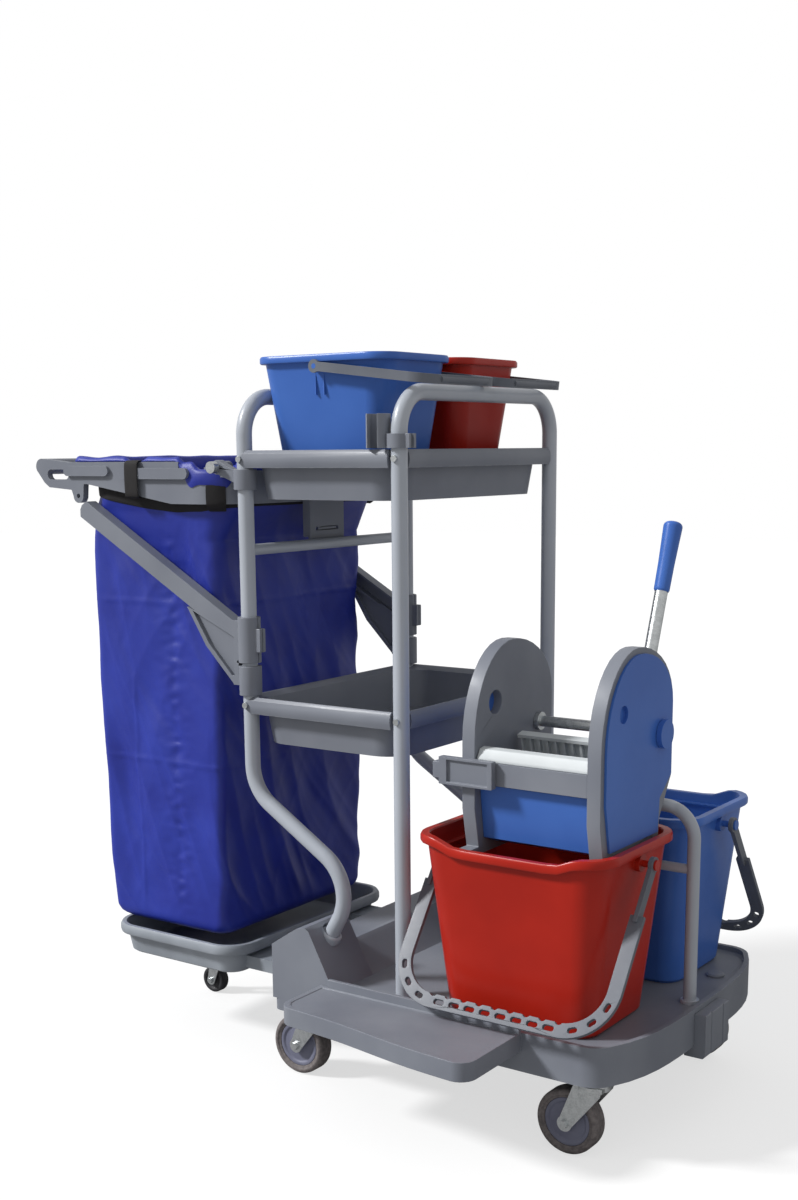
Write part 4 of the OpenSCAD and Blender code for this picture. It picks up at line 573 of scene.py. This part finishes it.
# black hem round the bag's neck, tucked under the ring, and the straps that hold it to the ring
webbingShape = {"count": 300, "hemMm": 26, "hemHeights": (915, 980, 27), "hemWave": 0.8,
                # lower edge of the hem: place along the cart, height; read from the outline at hemRow
                "hemEdge": ((-690, 948), (-640, 943), (-580, 933), (-520, 925), (-452, 920), (-400, 922),
                            (-373, 927), (-330, 931)),
                "hemRow": 6,
                # the long straps over the ring's sides
                "strapX": -551, "strapWide": 31, "strapThick": 2, "strapFace": 235.05, "strapInside": 213.5,
                # the short straps up the ring's round corners: centre, turn in degrees, height and radius
                "corner": (-407, 141.5), "cornerTurn": (-72, -50, 10),
                "cornerPath": ((923, 74), (926, 79), (930, 83.5), (934, 86), (938, 86.6), (948, 86.9),
                               (958, 86.9), (966, 86.4))}


def hemStrip(shape):
    count = shape["count"]
    wide = shape["hemMm"]
    heights = np.linspace(*shape["hemHeights"])
    profile = ((0, 0.3), (0.5, 1.2), (3, 1.6), (wide / 2, 1.7), (wide - 3, 1.6), (wide, 0.3))  # rise, offset
    edge = np.array(shape["hemEdge"], float)
    points = []
    for rise, offset in profile:
        loops = np.array([bagLoop(bagShape, z, offset, count)[0] for z in heights])
        for i in range(count):
            low = np.interp(loops[shape["hemRow"], i, 0], edge[:, 0], edge[:, 1])
            z = low + rise + shape["hemWave"] * noise.noise(Vector((i / 9, 0.4, 2.5)))
            points.append((np.interp(z, heights, loops[:, i, 0]), np.interp(z, heights, loops[:, i, 1]), z))
    return points, bandFaces(len(profile), count)


def cornerStrap(shape, side):  # a short strap from the hem up the ring's round corner
    path = shape["cornerPath"]
    x, y = shape["corner"]
    turns = np.radians(np.linspace(*shape["cornerTurn"]))
    points = [(x + r * math.cos(a), side * (y - r * math.sin(a)), z) for z, r in path for a in turns]
    n = len(turns)
    faces = [(k * n + i, k * n + i + 1, (k + 1) * n + i + 1, (k + 1) * n + i)
             for k in range(len(path) - 1) for i in range(n - 1)]
    return points, [f if side < 0 else f[::-1] for f in faces]


def strapRibbon(shape, side):  # a flat ribbon over the ring's side, with its selvedges a touch thinner
    face, inside = shape["strapFace"], shape["strapInside"]
    path = ((inside, 946), (inside + 10, 944), (face - 6, 944), (face - 1, 945.5), (face, 950),
            (face + 0.2, 975), (face, 996), (face - 1, 1002), (face - 4, 1004.6), (face - 10, 1005.2),
            (inside + 6, 1005.2), (inside, 1004.4))
    path = np.array([(side * y, z) for y, z in path])
    ahead = np.gradient(path, axis=0)
    ahead /= np.linalg.norm(ahead, axis=1)[:, None]
    out = np.stack([ahead[:, 1], -ahead[:, 0]], 1)
    # share of the width, share of half the thickness
    profile = ((0, 0), (0.06, 1), (0.5, 1.15), (0.94, 1), (1, 0), (0.94, -0.6), (0.5, -0.7), (0.06, -0.6))
    points = []
    for p, o in zip(path, out):
        for share, t in profile:
            y, z = p + o * t * shape["strapThick"] / 2
            points.append((shape["strapX"] + share * shape["strapWide"], y, z))
    n = len(profile)
    ends = [tuple(range(n))[::-1], tuple(range((len(path) - 1) * n, len(path) * n))]
    return points, bandFaces(len(path), n) + ends


def webbing(shape):
    points, faces = hemStrip(shape)
    for side in (-1, 1):
        for strap, skin in (strapRibbon(shape, side), cornerStrap(shape, side)):
            first = len(points)
            points += strap
            faces += [tuple(first + i for i in f) for f in skin]
    made = newPiece("bagWebbing", points, faces, cloths["polyesterWebbing"])
    soft = made.modifiers.new("soft", "SUBSURF")
    soft.levels = soft.render_levels = 1
    return made


straps = webbing(webbingShape)
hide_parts("bag_webbing")
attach(straps, "bag_frame")
print("webbing ready")


# turned-over mouth of the bag, a loose roll along the top of the ring
cuffShape = {"count": 420, "puffMm": 4.0, "ringTop": 1003, "start": (-535, -226.5),
             # the ring's corners: x, y, radius, first angle
             "corners": ((-407, -141.5, 85, -90), (-407, 141.5, 85, 0), (-664, 200.5, 26, 90),
                         (-664, -200.5, 26, 180)),
             # inset from the ring's outer face, height over its top, share of the flap at the low corners
             "profile": ((13.6, -30, 0), (13.4, -12, 0), (13.2, 2, 0), (11.5, 6, 0), (7.5, 8.5, 0),
                         (4.0, 7, 0), (1.2, 3.5, 0), (0.2, 0.9, 0), (-1.4, 0.8, 0.25), (-2.4, 0.7, 0.6),
                         (-2.0, 0.6, 0.85), (-1.0, 0.5, 1)),
             "crest": 9, "puffWide": 55, "foldInset": 2,
             # where the ring steps down, and how far
             "step": (-442, -428), "stepMm": 15, "stepPuff": 5,
             # the flap that hangs over the ring's low corners: where it grows and where it fades
             "flapGrow": (-440, -404), "flapFade": (-352, -335), "fadeShare": 0.75,
             "flapMm": 26, "flapWave": 7, "flapWide": 24,
             # pressed flat under the straps and the hinge ears: place, reach, side
             "strap": (-535, (28, 14), 200), "ear": (-361, (52, 34), 190),
             "pressShare": 0.85, "pressLift": 0.4}


def cuffLoop(shape, inset):
    x, y = shape["start"]
    corners = [(cx, cy, r - inset, a) for cx, cy, r, a in shape["corners"]]
    return evenLoop((x, y + inset), corners, shape["count"])


def pressedUnder(holder, x, y):
    spot, (none, full), side = holder
    return ease(none, full, abs(x - spot)) if abs(y) > side else 0


def cuffRoll(shape):
    crest, puffWide, flapWide = shape["crest"], shape["puffWide"], shape["flapWide"]
    points = []
    for inset, rise, flap in shape["profile"]:
        for (x, y), (xFold, yFold) in zip(cuffLoop(shape, inset), cuffLoop(shape, shape["foldInset"])):
            lowPart = ease(*shape["step"], x)
            hang = ease(*shape["flapGrow"], x) * (1 - shape["fadeShare"] * ease(*shape["flapFade"], x))
            lift = rise
            if rise > 1:
                pressed = max(pressedUnder(shape["strap"], x, y), pressedUnder(shape["ear"], x, y))
                puff = shape["puffMm"] * rise / crest * noise.noise(Vector((x / puffWide, y / puffWide, 1.1)))
                lift = rise + puff + shape["stepPuff"] * lowPart * rise / crest
                lift = lift * (1 - shape["pressShare"] * pressed) + shape["pressLift"] * pressed
            wave = shape["flapWave"] * noise.noise(Vector((x / flapWide, y / flapWide, 3.1)))
            drop = flap * hang * (shape["flapMm"] + wave)
            if inset < 0:
                x, y = xFold + (x - xFold) * hang, yFold + (y - yFold) * hang
            points.append((x, y, shape["ringTop"] - shape["stepMm"] * lowPart + lift - drop))
    faces = bandFaces(len(shape["profile"]), shape["count"])
    return newPiece("bagMouth", points, faces, cloths["coatedNylon"])


mouth = cuffRoll(cuffShape)
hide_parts("bag_cuff")
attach(mouth, "bag_frame")
print("bag mouth ready")


# floor, light and background

studio = {"floor": "#a4a4a4", "floorLift": 0.65, "floorReach": 14, "floorDrop": 0.0005,
          "skyStrength": 0.47, "mirrorStrength": 0.62,
          # name, azimuth and height in degrees, strength, softness in degrees
          "lamps": (("key", -50, 38, 3.3, 9), ("fill", 70, 40, 0.05, 60))}


def makeFloor(look):
    mesh = bpy.data.meshes.new("floor")
    r = look["floorReach"]
    mesh.from_pydata([(-r, -r, 0), (r, -r, 0), (r, r, 0), (-r, r, 0)], [], [(0, 1, 2, 3)])
    floor = bpy.data.objects.new("floor", mesh)
    scene.collection.objects.link(floor)
    floor.location.z = -look["floorDrop"]
    material, tree, shader, _ = startMaterial("paleFloor", look["floor"])
    shader.inputs["Base Color"].default_value = linear(look["floor"])
    shader.inputs["Roughness"].default_value = 0.9
    shader.inputs["Specular IOR Level"].default_value = 0.0
    rays = addNode(tree, "ShaderNodeLightPath")
    lift = addNode(tree, "ShaderNodeMath", {"operation": "MULTIPLY"},
                   {0: rays.outputs["Is Camera Ray"], 1: look["floorLift"]})
    shader.inputs["Emission Color"].default_value = (1, 1, 1, 1)
    tree.links.new(lift.outputs["Value"], shader.inputs["Emission Strength"])
    mesh.materials.append(material)


def makeLight(look):
    world = bpy.data.worlds.new("studio")
    world.use_nodes = True
    tree = world.node_tree
    rays = addNode(tree, "ShaderNodeLightPath")
    mirrored = addNode(tree, "ShaderNodeMapRange", {},
                       {"Value": rays.outputs["Is Glossy Ray"], "To Min": look["skyStrength"],
                        "To Max": look["mirrorStrength"]})
    strength = addNode(tree, "ShaderNodeMapRange", {},
                       {"Value": rays.outputs["Is Camera Ray"], "To Min": mirrored.outputs["Result"],
                        "To Max": 1.0})
    tree.nodes["Background"].inputs["Color"].default_value = (1, 1, 1, 1)
    tree.links.new(strength.outputs["Result"], tree.nodes["Background"].inputs["Strength"])
    scene.world = world
    for name, azimuth, height, power, soft in look["lamps"]:
        data = bpy.data.lights.new(name, "SUN")
        data.energy = power
        data.angle = math.radians(soft)
        lamp = bpy.data.objects.new(name, data)
        scene.collection.objects.link(lamp)
        a, e = math.radians(azimuth), math.radians(height)
        towards = Vector((math.sin(a) * math.cos(e), -math.cos(a) * math.cos(e), math.sin(e)))
        lamp.rotation_mode = "QUATERNION"
        lamp.rotation_quaternion = towards.to_track_quat("Z", "Y")


makeFloor(studio)
makeLight(studio)
print("studio ready")
